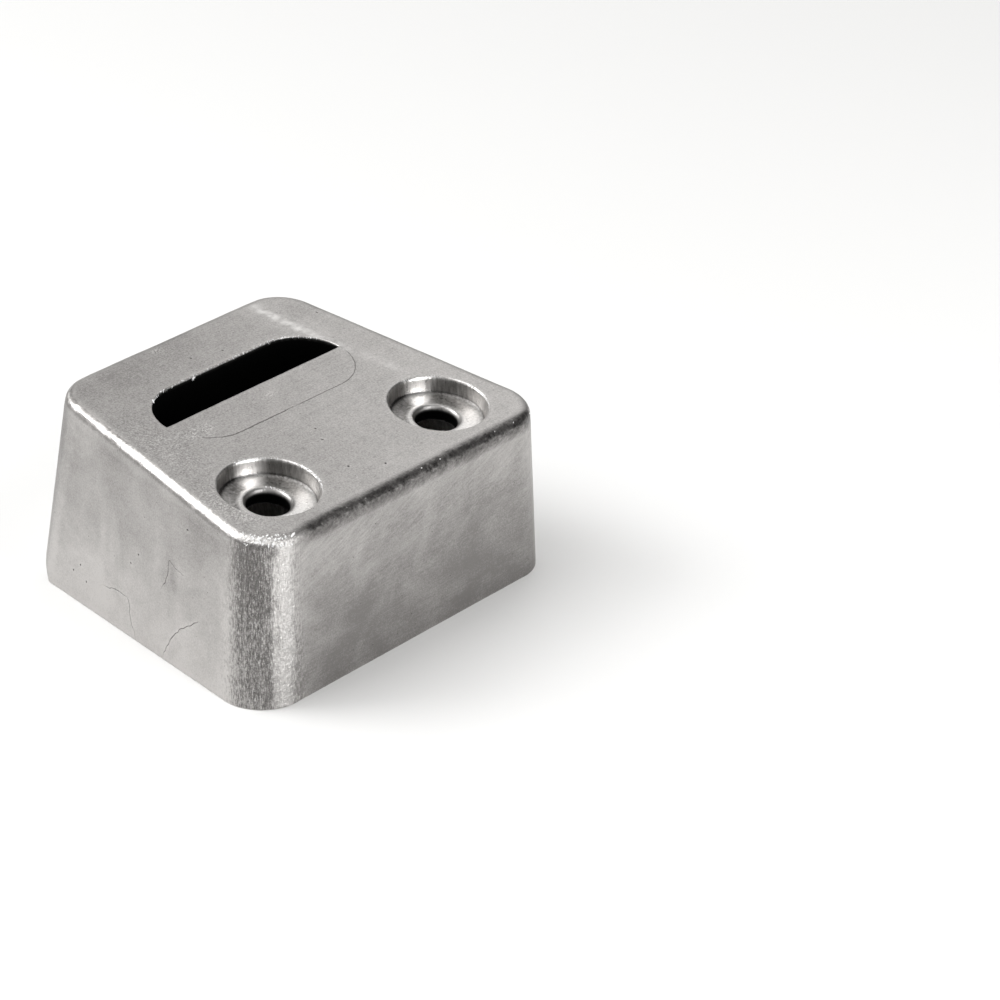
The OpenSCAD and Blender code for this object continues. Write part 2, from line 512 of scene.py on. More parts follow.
    def round_normals(self, verts: Array, tris: Array, panels: list[Panel], owner: Array) -> Array:
        """Finds the direction of the curved surface at each corner of each triangle.

        Args:
            verts: the closed mesh's points.
            tris: its triangles.
            panels: the flat panels.
            owner: each triangle's panel.

        Returns:
            Three directions for each triangle. A broad flat surface keeps its own at its border.
        """
        corner = verts[tris]
        face = np.array([panels[k].normal for k in owner])
        weight = np.zeros((len(tris), 3))
        for k in range(3):
            u = corner[:, (k + 1) % 3] - corner[:, k]
            v = corner[:, (k + 2) % 3] - corner[:, k]
            size = np.maximum(np.linalg.norm(u, axis=1) * np.linalg.norm(v, axis=1), TINY)
            weight[:, k] = np.arccos(np.clip((u * v).sum(1) / size, -1, 1))
        weight *= np.where(np.array([p.broad for p in panels])[owner], self.BROAD_WEIGHT, 1.0)[:, None]
        at: list[list[Link]] = [[] for _ in verts]
        for t, corners in enumerate(tris.tolist()):
            for k, v in enumerate(corners):
                at[v].append((t, k))
        result = np.zeros((len(tris), 3, 3))
        alike = math.cos(self.ROUND_ANGLE)
        for found in at:
            if not found:
                continue
            t, k = np.array(found).T
            near = (face[t] @ face[t].T > alike) * weight[t, k][None]
            result[t, k] = unit_rows(near @ face[t])
        return result

    def build(self, source: Object, marks: Sequence[Groove | Pinhole]) -> FineMesh:
        """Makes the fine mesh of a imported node.

        Args:
            source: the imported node.
            marks: lines to cut and gas holes to sink into flat surfaces.

        Returns:
            The fine mesh.
        """
        verts, tris = self.read(source)
        panels, sides, owner = self.split(verts, tris)
        round_normal = self.round_normals(verts, tris, panels, owner)
        self.points = list(verts)
        self.lifts = [np.zeros(3)] * len(verts)
        self.sharp = [0.0] * len(verts)
        bends = {}
        for edge, pair in sides.items():
            facing = float(np.clip(panels[owner[pair[0]]].normal @ panels[owner[pair[1]]].normal, -1, 1))
            bends[edge] = math.acos(facing) > self.SHARP_ANGLE
            if bends[edge]:
                self.sharp[edge[0]] = self.sharp[edge[1]] = 1.0
        chains: dict[Link, list[int]] = {}
        for edge, pair in sides.items():
            pitch = min(panels[owner[t]].pitch for t in pair)
            stops = self._stops(edge, verts, pitch, bends[edge])
            ends = [[round_normal[t, tris[t].tolist().index(v)] for v in edge] for t in pair]
            chain = [edge[0]]
            for t in stops:
                chain.append(len(self.points))
                self.points.append(verts[edge[0]] * (1 - t) + verts[edge[1]] * t)
                self.lifts.append(held_back(edge_lift(verts[edge[0]], verts[edge[1]], t, ends, bends[edge])))
                self.sharp.append(float(bends[edge]))
            chain.append(edge[1])
            chains[edge] = chain
        self.sink = [0.0] * len(self.points)
        faces: list[list[int]] = []
        zones: list[int] = []
        for panel in panels:
            own = [mark for mark in marks if mark.zone is panel.zone and panel.broad]
            made = self._fill(panel, chains, own, verts[tris[panel.faces]], round_normal[panel.faces])
            faces += made
            zones += [panel.zone.value] * len(made)
        where = np.array(self.points) + np.array(self.lifts)
        return FineMesh(where, np.array(faces), np.array(zones), np.array(self.sharp), np.array(self.sink))

    def _stops(self, edge: Link, verts: Array, pitch: float, hard: bool) -> list[float]:
        """Places the points along one edge, with a pair close to each end that lies on a sharp edge.

        Args:
            edge: its two ends.
            verts: the closed mesh's points.
            pitch: the spacing in mm.
            hard: whether it is a sharp edge.

        Returns:
            Their shares of the way along it.
        """
        length = float(np.linalg.norm(verts[edge[1]] - verts[edge[0]]))
        if hard:
            steps = max(1, round(length / min(pitch, self.SHARP_PITCH)))
            return [k / steps for k in range(1, steps)]
        low, high, stops = 0.0, length, []
        if self.sharp[edge[0]] and length > self.COLLAR_ROOM:
            stops += self.COLLARS
            low = self.COLLARS[-1]
        if self.sharp[edge[1]] and length > self.COLLAR_ROOM:
            stops += [length - c for c in self.COLLARS]
            high = length - self.COLLARS[-1]
        steps = max(1, round((high - low) / pitch))
        stops += [low + (high - low) * k / steps for k in range(1, steps)]
        return [s / length for s in sorted(stops)]

    def _fill(
        self,
        panel: Panel,
        chains: dict[Link, list[int]],
        marks: Sequence[Groove | Pinhole],
        corners: Array,
        corner_normals: Array,
    ) -> list[list[int]]:
        """Fills one flat panel with triangles.

        Args:
            panel: the panel.
            chains: the points along each edge between panels.
            marks: lines and gas holes that may lie on this panel.
            corners: corners of the panel's own triangles.
            corner_normals: directions of the curved surface at those corners.

        Returns:
            The panel's triangles, pointing outwards.
        """
        along, across = plane_axes(panel.normal)
        ids: dict[int, int] = {}
        links = []
        for edge in panel.rim:
            for a, b in zip(chains[edge], chains[edge][1:]):
                links.append((ids.setdefault(a, len(ids)), ids.setdefault(b, len(ids))))
        order = list(ids)
        edge_3d = np.array([self.points[i] for i in order])
        origin = edge_3d.mean(0)
        flat = np.stack([(edge_3d - origin) @ along, (edge_3d - origin) @ across], axis=1)
        seg = np.array(links)
        hard = np.array([self.sharp[order[i]] > 0 and self.sharp[order[j]] > 0 for i, j in links])
        outline = Outline(flat[seg[:, 0]], flat[seg[:, 1]], hard)
        sheet = Sheet(origin, panel.normal, along, across, outline)
        if min(np.ptp(flat, axis=0)) > panel.pitch:
            for mark in marks:
                sheet.draw(mark)
            inner = self._scatter(panel, outline, sheet.marked())
        else:
            inner = np.zeros((0, 2))
        every = np.concatenate([flat, sheet.marked(), inner])
        shift = len(flat)
        joins = links + [(i + shift, j + shift) for i, j in sheet.links]
        drawn = delaunay_2d_cdt([Vector(p) for p in every], joins, [], 0, self.MERGE, True)
        new_points, new_faces, origins = drawn[0], drawn[2], drawn[3]
        co = np.array([(v.x, v.y) for v in new_points])
        tri = np.array([f for f in new_faces if len(f) == 3]).reshape(-1, 3)
        source = [min(found) if found else -1 for found in origins]
        back = {s: k for k, found in enumerate(origins) for s in found}
        tri = tri[self._kept(tri, co, back, links, outline)]
        spin = np.cross(co[tri[:, 1]] - co[tri[:, 0]], co[tri[:, 2]] - co[tri[:, 0]])
        tri = np.where((spin * (np.cross(along, across) @ panel.normal) < 0)[:, None], tri[:, ::-1], tri)
        used = np.zeros(len(co), bool)
        used[tri] = True
        where = np.zeros(len(co), int)
        fresh = [k for k in range(len(co)) if used[k] and not 0 <= source[k] < shift]
        for k in range(len(co)):
            if 0 <= source[k] < shift:
                where[k] = order[source[k]]
        spots = origin + co[fresh][:, :1] * along + co[fresh][:, 1:] * across
        lifts = np.zeros((len(fresh), 3)) if panel.broad else facet_lift(spots, corners, corner_normals)
        for k, spot, lift in zip(fresh, spots, lifts):
            mark = source[k] - shift
            where[k] = len(self.points)
            self.points.append(spot)
            self.lifts.append(held_back(lift))
            self.sharp.append(0.0)
            self.sink.append(sheet.extra[mark][2] if 0 <= mark < len(sheet.extra) else 0.0)
        return where[tri].tolist()

    @staticmethod
    def _kept(
        tri: Array, co: Array, back: dict[int, int], links: list[Link], outline: "Outline"
    ) -> list[int]:
        """Picks the triangles inside the panel, by flooding from one to the next up to the outline.

        Args:
            tri: all triangles.
            co: their points on the panel.
            back: which of them each given point became.
            links: the outline's segments, by given point.
            outline: the panel's outline.

        Returns:
            Numbers of the triangles to keep.
        """
        walls = {frozenset((back[a], back[b])) for a, b in links}
        group = Groups(len(tri))
        first: dict[frozenset, int] = {}
        for t, (a, b, c) in enumerate(tri.tolist()):
            for edge in (frozenset((a, b)), frozenset((b, c)), frozenset((c, a))):
                if edge in walls:
                    continue
                if edge in first:
                    group.join(first.pop(edge), t)
                else:
                    first[edge] = t
        outside = {group.root(t) for t in first.values()}
        p = co[tri]
        area = np.abs(np.cross(p[:, 1] - p[:, 0], p[:, 2] - p[:, 0]))
        kept: list[int] = []
        for members in group.sets():
            largest = max(members, key=lambda t: area[t])
            if group.root(largest) not in outside and outline.holds(p[largest].mean(0)[None])[0]:
                kept += members
        return kept

    def _scatter(self, panel: Panel, outline: "Outline", taken: Array) -> Array:
        """Places the points inside a panel: collars beside its sharp edges, then an even field of triangles.

        Args:
            panel: the panel.
            outline: its outline.
            taken: points of grooves and pinholes, kept clear of.

        Returns:
            The points, on the panel.
        """
        fixed = np.zeros((0, 2))
        row_height, jitter = 0.866, 0.1
        a, b, hard = outline.start, outline.end, outline.hard
        if hard.any() and panel.pitch > self.COLLARS[0]:
            side = square_to((b - a)[hard])
            rows = []
            for offset, base in zip(self.COLLARS, ((a + b)[hard] / 2, a[hard])):
                row = np.concatenate([base + side * offset, base - side * offset])
                row = row[outline.holds(row)]
                rows.append(row[outline.gap(row) > 0.85 * offset] if len(row) else row)
            fixed = thin_out(clear_of(np.concatenate(rows), taken, room=0.12), room=0.11)
        step = panel.pitch
        low, high = np.minimum(a, b).min(0), np.maximum(a, b).max(0)
        columns, lines = np.arange(low[0], high[0], step), np.arange(low[1], high[1], step * row_height)
        grid = np.stack(np.meshgrid(columns, lines), -1)
        grid[1::2, :, 0] += step / 2
        grid = grid.reshape(-1, 2) + self.rng.uniform(-jitter, jitter, (grid.size // 2, 2)) * step
        grid = grid[outline.holds(grid)]
        if len(grid):
            grid = grid[outline.gap(grid) > 0.5 * step]
        grid = clear_of(grid, taken, 0.45 * step)
        grid = clear_of(grid, fixed, 0.5 * step)
        return np.concatenate([fixed, grid])


class Groups:
    """Sets of numbers that are joined bit by bit."""

    def __init__(self, count: int) -> None:
        """Starts with each number on its own."""
        self.parent = list(range(count))

    def root(self, k: int) -> int:
        """Finds the number that stands for a set.

        Args:
            k: any number of the set.

        Returns:
            The number that stands for it.
        """
        parent = self.parent
        while parent[k] != k:
            parent[k] = parent[parent[k]]
            k = parent[k]
        return k

    def join(self, a: int, b: int) -> None:
        """Joins two sets."""
        self.parent[self.root(a)] = self.root(b)

    def sets(self) -> list[list[int]]:
        """Lists the members of each set.

        Returns:
            One list for each set.
        """
        found: dict[int, list[int]] = {}
        for k in range(len(self.parent)):
            found.setdefault(self.root(k), []).append(k)
        return list(found.values())


@dataclass(frozen=True)
class Outline:
    """The outline of a panel, holes and all, as loose segments: their two ends, and which are sharp edges."""

    start: Array
    end: Array
    hard: Array

    def holds(self, p: Array) -> Array:
        """Tells which points lie inside the outline and outside its holes.

        Args:
            p: the points, on the panel.

        Returns:
            True for each point that does.
        """
        a, b = self.start, self.end
        rise = np.where(np.abs(b[:, 1] - a[:, 1]) < TINY, TINY, b[:, 1] - a[:, 1])
        slope = (b[:, 0] - a[:, 0]) / rise

        def odd_crossings(q: Array) -> Array:
            """Tells which points have an odd number of segments to one side."""
            crosses = (a[None, :, 1] > q[:, None, 1]) != (b[None, :, 1] > q[:, None, 1])
            x = a[None, :, 0] + (q[:, None, 1] - a[None, :, 1]) * slope[None]
            return (crosses & (q[:, None, 0] < x)).sum(1) % 2 == 1

        return in_batches(odd_crossings, p)

    def gap(self, p: Array) -> Array:
        """Distance of points from the outline.

        Args:
            p: the points, on the panel.

        Returns:
            One distance for each point.
        """
        d = self.end - self.start
        length = np.maximum((d**2).sum(1), TINY)

        def nearest(q: Array) -> Array:
            """Distance from the nearest segment."""
            away = q[:, None] - self.start[None]
            t = np.clip((away * d[None]).sum(2) / length[None], 0, 1)
            return np.sqrt(((away - t[..., None] * d[None]) ** 2).sum(2).min(1))

        return in_batches(nearest, p)


@dataclass
class Sheet:
    """A panel laid flat, with the cracks and gas holes that are drawn on it.

    Attributes:
        origin: its middle, in the part's frame.
        normal: its outward direction.
        along: its first axis.
        across: its second axis.
        outline: its outline.
        extra: the points of cracks and gas holes: place on the panel, and depth.
        links: lines between those points.
        GUARD: distance of the row of points that keeps a mark's lip in place.
        OFF_PLANE: how far off the panel a mark's route may lie.
        STEP: distance between the points of a groove.
        MARK_ROOM: distance that a groove keeps from other marks.
        FEWEST: fewest points that make a groove.
        HOLE_SIDES: points on each ring of a gas hole.
        HOLE_RINGS: share of the radius, and of the depth, at a gas hole's lip and on its slope.
    """

    origin: Array
    normal: Array
    along: Array
    across: Array
    outline: Outline
    extra: list[tuple[float, float, float]] = field(default_factory=list)
    links: list[Link] = field(default_factory=list)

    GUARD = 0.08
    OFF_PLANE = 0.5
    STEP = 0.26
    MARK_ROOM = 0.4
    FEWEST = 4
    HOLE_SIDES = 7
    HOLE_RINGS = ((1.0, 0.0), (0.7, 0.8))

    def marked(self) -> Array:
        """Places of the extra points on the panel."""
        return np.array([e[:2] for e in self.extra]).reshape(-1, 2)

    def _lay(self, route: Sequence[Sequence[float]]) -> Array | None:
        """Lays points on the panel, or gives None where they aren't on it.

        Args:
            route: the points, in the part's frame.

        Returns:
            Their places on the panel, or None.
        """
        away = np.array(route) - self.origin
        if np.abs(away @ self.normal).max() > self.OFF_PLANE:
            return None
        return np.stack([away @ self.along, away @ self.across], axis=1)

    def draw(self, mark: Groove | Pinhole) -> None:
        """Draws a groove or a gas hole, as far as it lies on the panel.

        Args:
            mark: the groove or gas hole.
        """
        if isinstance(mark, Groove):
            self._groove(mark)
        else:
            self._pinhole(mark)

    def _groove(self, groove: Groove) -> None:
        """Draws a groove's two lips and its bottom.

        Args:
            groove: the groove. The stretch of it that lies outside the panel is left out.
        """
        flat = self._lay(groove.route)
        if flat is None:
            return
        line = smooth_line(flat, self.STEP)
        sway = np.random.default_rng(len(line) + int(abs(flat[0, 0]) * 10))
        side = square_to(np.gradient(line, axis=0))
        wobble = np.convolve(sway.normal(0, 1, len(line) + 2), [0.3, 0.4, 0.3], "valid") * groove.wander
        line = line + side * wobble[:, None]
        inside = self.outline.holds(line) & (self.outline.gap(line) > groove.width + self.GUARD + 0.06)
        inside &= far_from(line, self.marked(), self.MARK_ROOM)
        line, side = line[inside], side[inside]
        n = len(line)
        if n < self.FEWEST:
            return
        step = np.arange(n)
        taper = np.clip(np.minimum(step, n - 1 - step) * 0.18, 0.3, 1)  # narrow and shallow at both ends
        half = groove.width / 2 * taper * sway.uniform(0.75, 1.25, n)
        base = len(self.extra)
        for k in range(n):
            lanes = (half[k] + self.GUARD, half[k], 0.0, -half[k], -half[k] - self.GUARD)
            for offset in lanes:
                x, y = line[k] + side[k] * offset
                self.extra.append((x, y, groove.depth * taper[k] if offset == 0 else 0.0))
        self.links += [(base + k, base + k + 5) for k in range(5 * (n - 1))]

    def _pinhole(self, hole: Pinhole) -> None:
        """Draws a gas hole's edge, slope and bottom.

        Args:
            hole: the gas hole. It is left out where it isn't clear inside the panel.
        """
        flat = self._lay([hole.place])
        if flat is None or not self.outline.holds(flat)[0] or self.outline.gap(flat)[0] < hole.radius + 0.45:
            return
        if len(clear_of(flat, self.marked(), hole.radius + 0.35)) == 0:
            return
        base, count = len(self.extra), self.HOLE_SIDES
        guard = 1 + self.GUARD / hole.radius
        for ring, (scale, depth) in enumerate(((guard, 0.0), *self.HOLE_RINGS)):
            for k in range(count):
                turn = 2 * math.pi * (k + 0.5 * ring) / count
                r = hole.radius * scale * (1 + 0.18 * math.sin(turn * 2 + hole.place[0]))
                x, y = flat[0] + r * np.array([math.cos(turn), math.sin(turn)])
                self.extra.append((x, y, hole.depth * depth))
        self.extra.append((flat[0, 0], flat[0, 1], hole.depth))
        for first in range(base, base + 3 * count, count):
            self.links += [(first + k, first + (k + 1) % count) for k in range(count)]


def plane_axes(normal: Array) -> tuple[Array, Array]:
    """Two directions in the plane square to a direction, the first level where it can be.

    Args:
        normal: the direction.

    Returns:
        The two directions.
    """
    along = np.cross(normal, [0.0, 0.0, 1.0])
    if np.linalg.norm(along) < 0.2:
        along = np.cross(normal, [0.0, -1.0, 0.0])
    along /= np.linalg.norm(along)
    return along, np.cross(normal, along)


def held_back(move: Array, most: float = 0.045) -> Array:
    """Shortens a move to no more than the most that a packed facet stands off its curve."""
    return move * min(1.0, most / max(float(np.linalg.norm(move)), SMALL))


def edge_lift(a: Array, b: Array, t: float, ends: list[list[Array]], hard: bool) -> Array:
    """Moves a point of a straight edge onto the curve that the edge stands for.

    Args:
        a: the edge's start.
        b: its end.
        t: the point's share of the way along it.
        ends: for each side of the edge, the surface's directions at the start and at the end.
        hard: whether it is a sharp edge of the solid.

    Returns:
        How far the point moves.
    """
    d = b - a
    if hard:
        reach = np.linalg.norm(d)
        slopes = []
        for k in (0, 1):
            way = np.cross(ends[0][k], ends[1][k])
            size = np.linalg.norm(way)
            way = way / size * reach * np.sign(way @ d) if size > 0.2 else d
            slopes.append(way if way @ d > 0.85 * reach * reach else d)
        return (t**3 - 2 * t**2 + t) * (slopes[0] - d) + (t**3 - t**2) * (slopes[1] - d)
    lift = np.zeros(3)
    for k, share in ((0, 1 - t), (1, t)):
        n = ends[0][k] + ends[1][k]
        n = n / np.linalg.norm(n)
        away = d * t if k == 0 else -d * (1 - t)
        lift -= 0.5 * share * (away @ n) * n
    return lift


def facet_lift(p: Array, corners: Array, normals: Array) -> Array:
    """Moves points of flat triangles onto the curved surface that the triangles stand for.

    Args:
        p: the points.
        corners: three corners of each triangle.
        normals: directions of the surface at those corners.

    Returns:
        How far each point moves.
    """
    if len(p) == 0:
        return np.zeros((0, 3))
    u, v = corners[:, 1] - corners[:, 0], corners[:, 2] - corners[:, 0]
    uu, uv, vv = (u * u).sum(1), (u * v).sum(1), (v * v).sum(1)
    away = p[:, None] - corners[None, :, 0]
    pu, pv = (away * u[None]).sum(2), (away * v[None]).sum(2)
    size = np.maximum(uu * vv - uv * uv, TINY)
    s, t = (vv * pu - uv * pv) / size, (uu * pv - uv * pu) / size
    share = np.stack([1 - s - t, s, t], axis=2)
    best = share.min(2).argmax(1)
    share = np.clip(share[np.arange(len(p)), best], 0, 1)
    lift = np.zeros_like(p)
    for k in range(3):
        n = normals[best, k]
        rise = ((p - corners[best, k]) * n).sum(1)
        lift -= 0.5 * (share[:, k] * rise)[:, None] * n
    return lift


def far_from(p: Array, taken: Array, room: float) -> Array:
    """Tells which points keep a distance from points already placed."""
    if len(taken) == 0:
        return np.ones(len(p), bool)
    return np.sqrt(((p[:, None] - taken[None]) ** 2).sum(2)).min(1) > room


def clear_of(p: Array, taken: Array, room: float) -> Array:
    """Drops the points that come within a distance of points already placed."""
    return p[in_batches(lambda q: far_from(q, taken, room), p)]


def thin_out(p: Array, room: float) -> Array:
    """Drops points that come too close to an earlier one.

    Args:
        p: the points, in order.
        room: the least distance.

    Returns:
        The points that are left.
    """
    kept: dict[Link, list[Array]] = {}
    result = []
    for q in p:
        cx, cy = int(q[0] // room), int(q[1] // room)
        near = [r for i in (-1, 0, 1) for j in (-1, 0, 1) for r in kept.get((cx + i, cy + j), ())]
        if all((q[0] - r[0]) ** 2 + (q[1] - r[1]) ** 2 > room * room for r in near):
            kept.setdefault((cx, cy), []).append(q)
            result.append(q)
    return np.array(result).reshape(-1, 2)


def smooth_line(points: Array, step: float) -> Array:
    """Runs a smooth curve through points.

    Args:
        points: the points to pass, two or three numbers each.
        step: distance between the points of the result.

    Returns:
        Evenly spaced points on the curve.
    """
    straight, curved = 60, 24
    if len(points) == 2:
        dense = np.linspace(points[0], points[1], straight)
    else:
        p = np.concatenate([[2 * points[0] - points[1]], points, [2 * points[-1] - points[-2]]])
        spans = []
        for a, b, c, d in zip(p, p[1:], p[2:], p[3:]):
            bend, twist = 2 * a - 5 * b + 4 * c - d, 3 * b - a - 3 * c + d
            steps = np.linspace(0, 1, curved, endpoint=False)
            spans += [0.5 * (2 * b + (c - a) * t + bend * t**2 + twist * t**3) for t in steps]
        dense = np.array(spans + [p[-2]])
    run = np.concatenate([[0], np.cumsum(np.linalg.norm(np.diff(dense, axis=0), axis=1))])
    at = np.linspace(0, run[-1], max(2, int(run[-1] / step) + 1))
    return np.stack([np.interp(at, run, dense[:, k]) for k in range(dense.shape[1])], axis=1)


@dataclass(frozen=True)
class Marks:
    """Where the casting is scuffed, cracked, pitted and rubbed bright, in mm in the part's frame."""

    form: BlockForm

    def on_side(self, route: Sequence[Pair]) -> tuple[Spot, ...]:
        """Puts y, z places on the flat of the -X side."""
        f = self.form
        return tuple((-(f.rim_half - f.plan_slope * y) + f.side_lean * z, y, z) for y, z in route)

    def on_slope(self, route: Sequence[Pair], depth: float = 0.0) -> tuple[Spot, ...]:
        """Puts across, up-slope places at a depth under the front face."""
        local = np.array([(u, v, -depth) for u, v in route])
        return tuple(tuple(p) for p in self.form.to_part(local))

    def grooves(self) -> list[Groove]:
        """Hairline cracks of the -X side and the rim, and the lines of cores and flow about the slot.

        Returns:
            The lines, each with the surface that it lies on.
        """
        on_side = [
            [(10.4, 5.6), (6.2, 6.4), (3.7, 5.9), (3.2, 3.5), (2.1, 0.9), (1.9, 0.3)],
            [(-4.4, 11.5), (-5.9, 14.0), (-6.4, 16.9), (-7.9, 16.2), (-10.8, 15.8)],
            [(-4.7, 0.3), (-5.0, 0.8), (-6.7, 3.9), (-8.7, 6.5), (-13.9, 10.3)],
        ]
        flow = [
            [(-3.9, -0.6), (-3.9, 0.7), (-4.0, 2.3), (-4.8, 3.3), (-6.0, 3.9)],
            [(0.3, -0.2), (0.1, 1.8), (-0.8, 3.4)],
            [(4.3, -0.1), (3.5, 2.1), (1.9, 3.8)],
            [(7.1, 2.6), (6.1, 3.2), (4.9, 3.5)],
        ]
        shelf = 1.5
        lines = [Groove(Zone.SHELL, self.on_side(route), width=0.14, depth=0.15) for route in on_side]
        lines += [Groove(Zone.SLOT, self.on_slope(route, shelf), width=0.16, depth=0.1) for route in flow]
        core = self.on_slope(self.shelf_line())
        lines.append(Groove(Zone.FACE, core[:12], width=0.24, depth=0.16, wander=0.05))
        lines.append(Groove(Zone.FACE, core[11:], width=0.18, depth=0.08, wander=0.03))
        for side in (-1, 1):
            arc = self.arc_of(side, [90 - side * a for a in range(5, 84, 6)])
            core = self.on_slope(arc, self.form.plate)
            lines.append(Groove(Zone.FLOOR, core, width=0.18, depth=0.12, wander=0.1))
        left = ((-19.8, -23.3, 0.0), (-20.0, -22.5, 0.0), (-20.3, -21.7, 0.0))
        right = ((17.9, 22.0, 0.0), (17.6, 23.6, 0.0), (17.4, 24.7, 0.0))
        lines.append(Groove(Zone.RIM, left, width=0.16, depth=0.25, wander=0.05))
        lines.append(Groove(Zone.RIM, right, width=0.12, depth=0.2, wander=0.05))
        return lines

    def shelf_line(self) -> list[Pair]:
        """Runs the line that the slot's core left round the thin shelf, on the front face's own axes."""
        middle = [(x, self.form.slot_fwd - self.form.slot_r) for x in (-7.0, -3.5, 0.0, 3.5, 7.0)]
        return self.arc_of(-1, range(218, 271, 6)) + middle + self.arc_of(1, range(270, 367, 6))

    def arc_of(self, side: int, angles: Sequence[float]) -> list[Pair]:
        """Runs round one rounded end of the slot, by angles in degrees on the front face's own axes.

        Args:
            side: the slot's end, -1 or 1.
            angles: the angles.

        Returns:
            A place across and up the slope for each angle.
        """
        f = self.form
        turns = [math.radians(a) for a in angles]
        middle = side * (f.slot_half_l - f.slot_r)
        return [(middle + f.slot_r * math.cos(a), f.slot_fwd + f.slot_r * math.sin(a)) for a in turns]

    def pinholes(self) -> list[Pinhole]:
        """Gas holes: the ones seen in the casting, and smaller ones strewn over its other flats.

        Returns:
            The holes, each with the surface that it lies in.
        """
        rng = np.random.default_rng(23)
        draw = rng.uniform
        on_side = [(3.1, 12.4), (1.2, 14.6), (-22.2, 4.0), (-10.7, 23.7), (17.8, 4.9), (16.0, 6.5)]
        on_side.append((14.5, 4.3))
        holes = [Pinhole(Zone.SHELL, spot, radius=0.2, depth=0.2) for spot in self.on_side(on_side)]
        on_face = [(3.5, 15.0), (-1.9, 16.4), (23.1, 13.9), (-2.9, -12.2), (-5.2, -19.7), (-0.4, -22.6)]
        on_face.append((-1.5, -9.5))
        holes += [Pinhole(Zone.FACE, spot, radius=0.23, depth=0.22) for spot in self.on_slope(on_face)]
        for _ in range(8):
            y, z = draw(-22, 22), draw(2, 27)
            holes.append(Pinhole(Zone.SHELL, self.on_side([(y, z)])[0], radius=draw(0.05, 0.09), depth=0.09))
            x, y, z = self.on_side([(y + 3, z)])[0]
            holes.append(Pinhole(Zone.SHELL, (-x, y, z), radius=draw(0.05, 0.11), depth=0.09))
            wide_end = (draw(-22, 24), -27.6, draw(2, 22))
            holes.append(Pinhole(Zone.SHELL, wide_end, radius=0.07, depth=0.09))
        for _ in range(16):
            spot = self.on_slope([(draw(-27, 27), draw(-25, 25))])[0]
            holes.append(Pinhole(Zone.FACE, spot, radius=draw(0.05, 0.09), depth=draw(0.07, 0.11)))
        for _ in range(22):
            spot = (draw(-31, 31), draw(-26, 26), 0.0)
            holes.append(Pinhole(Zone.RIM, spot, radius=draw(0.07, 0.15), depth=draw(0.1, 0.18)))
        return holes

    def near_corner(self, p: Array) -> Array:
        """How scuffed the upright corner between the -X side and the wide end is, from 0 to 1."""
        return ramp(-(p[:, 0] + p[:, 1]), 49.0, 53.5) * ramp(-p[:, 0], 20, 24) * ramp(-p[:, 1], 16, 22)

    def bright_streak(self, p: Array) -> Array:
        """The rubbed streak that runs down the front face beside the slot, from 0 to 1.

        Args:
            p: the points, in the part's frame.

        Returns:
            One value for each point.
        """
        route = [(16.3, 22.6), (16.6, 20.0), (16.9, 15.6), (17.6, 10.9)]
        route += [(18.2, 7.6), (18.9, 3.0), (20.1, -2.0), (20.8, -6.6)]
        curve = smooth_line(np.array(self.on_slope(route)), 0.6)
        gap = np.linalg.norm(p[:, None, :2] - curve[None, :, :2], axis=2).min(1)
        fade = 0.4 + 0.6 * ramp(p[:, 1], 5, 12)
        return fade * (0.75 * ramp(-gap, -1.3, -0.1) + 0.25 * ramp(-gap, -4.0, 0.0))

    def sparkle(self, local: Array) -> Array:
        """How rough and glittering the cast face is, above all beside the slot's left end, from 0 to 1.

        Args:
            local: the points on the slope's own axes.

        Returns:
            One value for each point.
        """
        patches = (  # strength, then middle and reach across, and middle and reach up the slope
            (1.0, -15.2, 2.6, 0.7, 1.5),
            (0.55, -22.5, 5.0, 1.0, 10.0),
            (0.9, -26.0, 3.2, -17.0, 6.5),
            (1.0, -4.5, 1.1, 21.1, 0.8),
            (1.0, 0.0, 0.9, 1.5, 0.6),
        )
        u, v = local[:, 0], local[:, 1]
        shares = [much * np.exp(-(((u - a) / b) ** 2) - ((v - c) / d) ** 2) for much, a, b, c, d in patches]
        return np.clip(sum(shares), 0, 1)

    def rim_band(self, p: Array) -> Array:
        """The low band along the inner edge of the rim at the narrow end, from 0 to 1.

        Args:
            p: the points, in the part's frame.

        Returns:
            One value for each point.
        """
        route = [(7.4, 20.0), (8.1, 22.6), (13.0, 22.9), (20.1, 22.8), (23.5, 21.9), (24.6, 19.6)]
        line, middle = smooth_line(np.array(route), 0.3), np.array((15.0, 17.0))
        x, y = p[:, 0], p[:, 1]
        gap = np.linalg.norm(p[:, None, :2] - line[None], axis=2)
        near = line[gap.argmin(1)]
        inside = np.hypot(*(p[:, :2] - middle).T) < np.hypot(*(near - middle).T)
        return np.where(inside, ramp(gap.min(1), 0.0, 0.22), 0.0) * (y > 18) * (x > 7)


@dataclass(frozen=True)
class Skin:
    """The casting's surface while its wear is worked out. Each array has a row for each point.

    Attributes:
        p: the points, in the part's frame.
        local: the same points on the slope's own axes.
        normal: their outward directions.
        part: share of each zone.
        sharp: 1 on a sharp edge of the solid.
        sink: depth of cracks and gas holes in mm.
    """

    p: Array
    local: Array
    normal: Array
    part: dict[Zone, Array]
    sharp: Array
    sink: Array


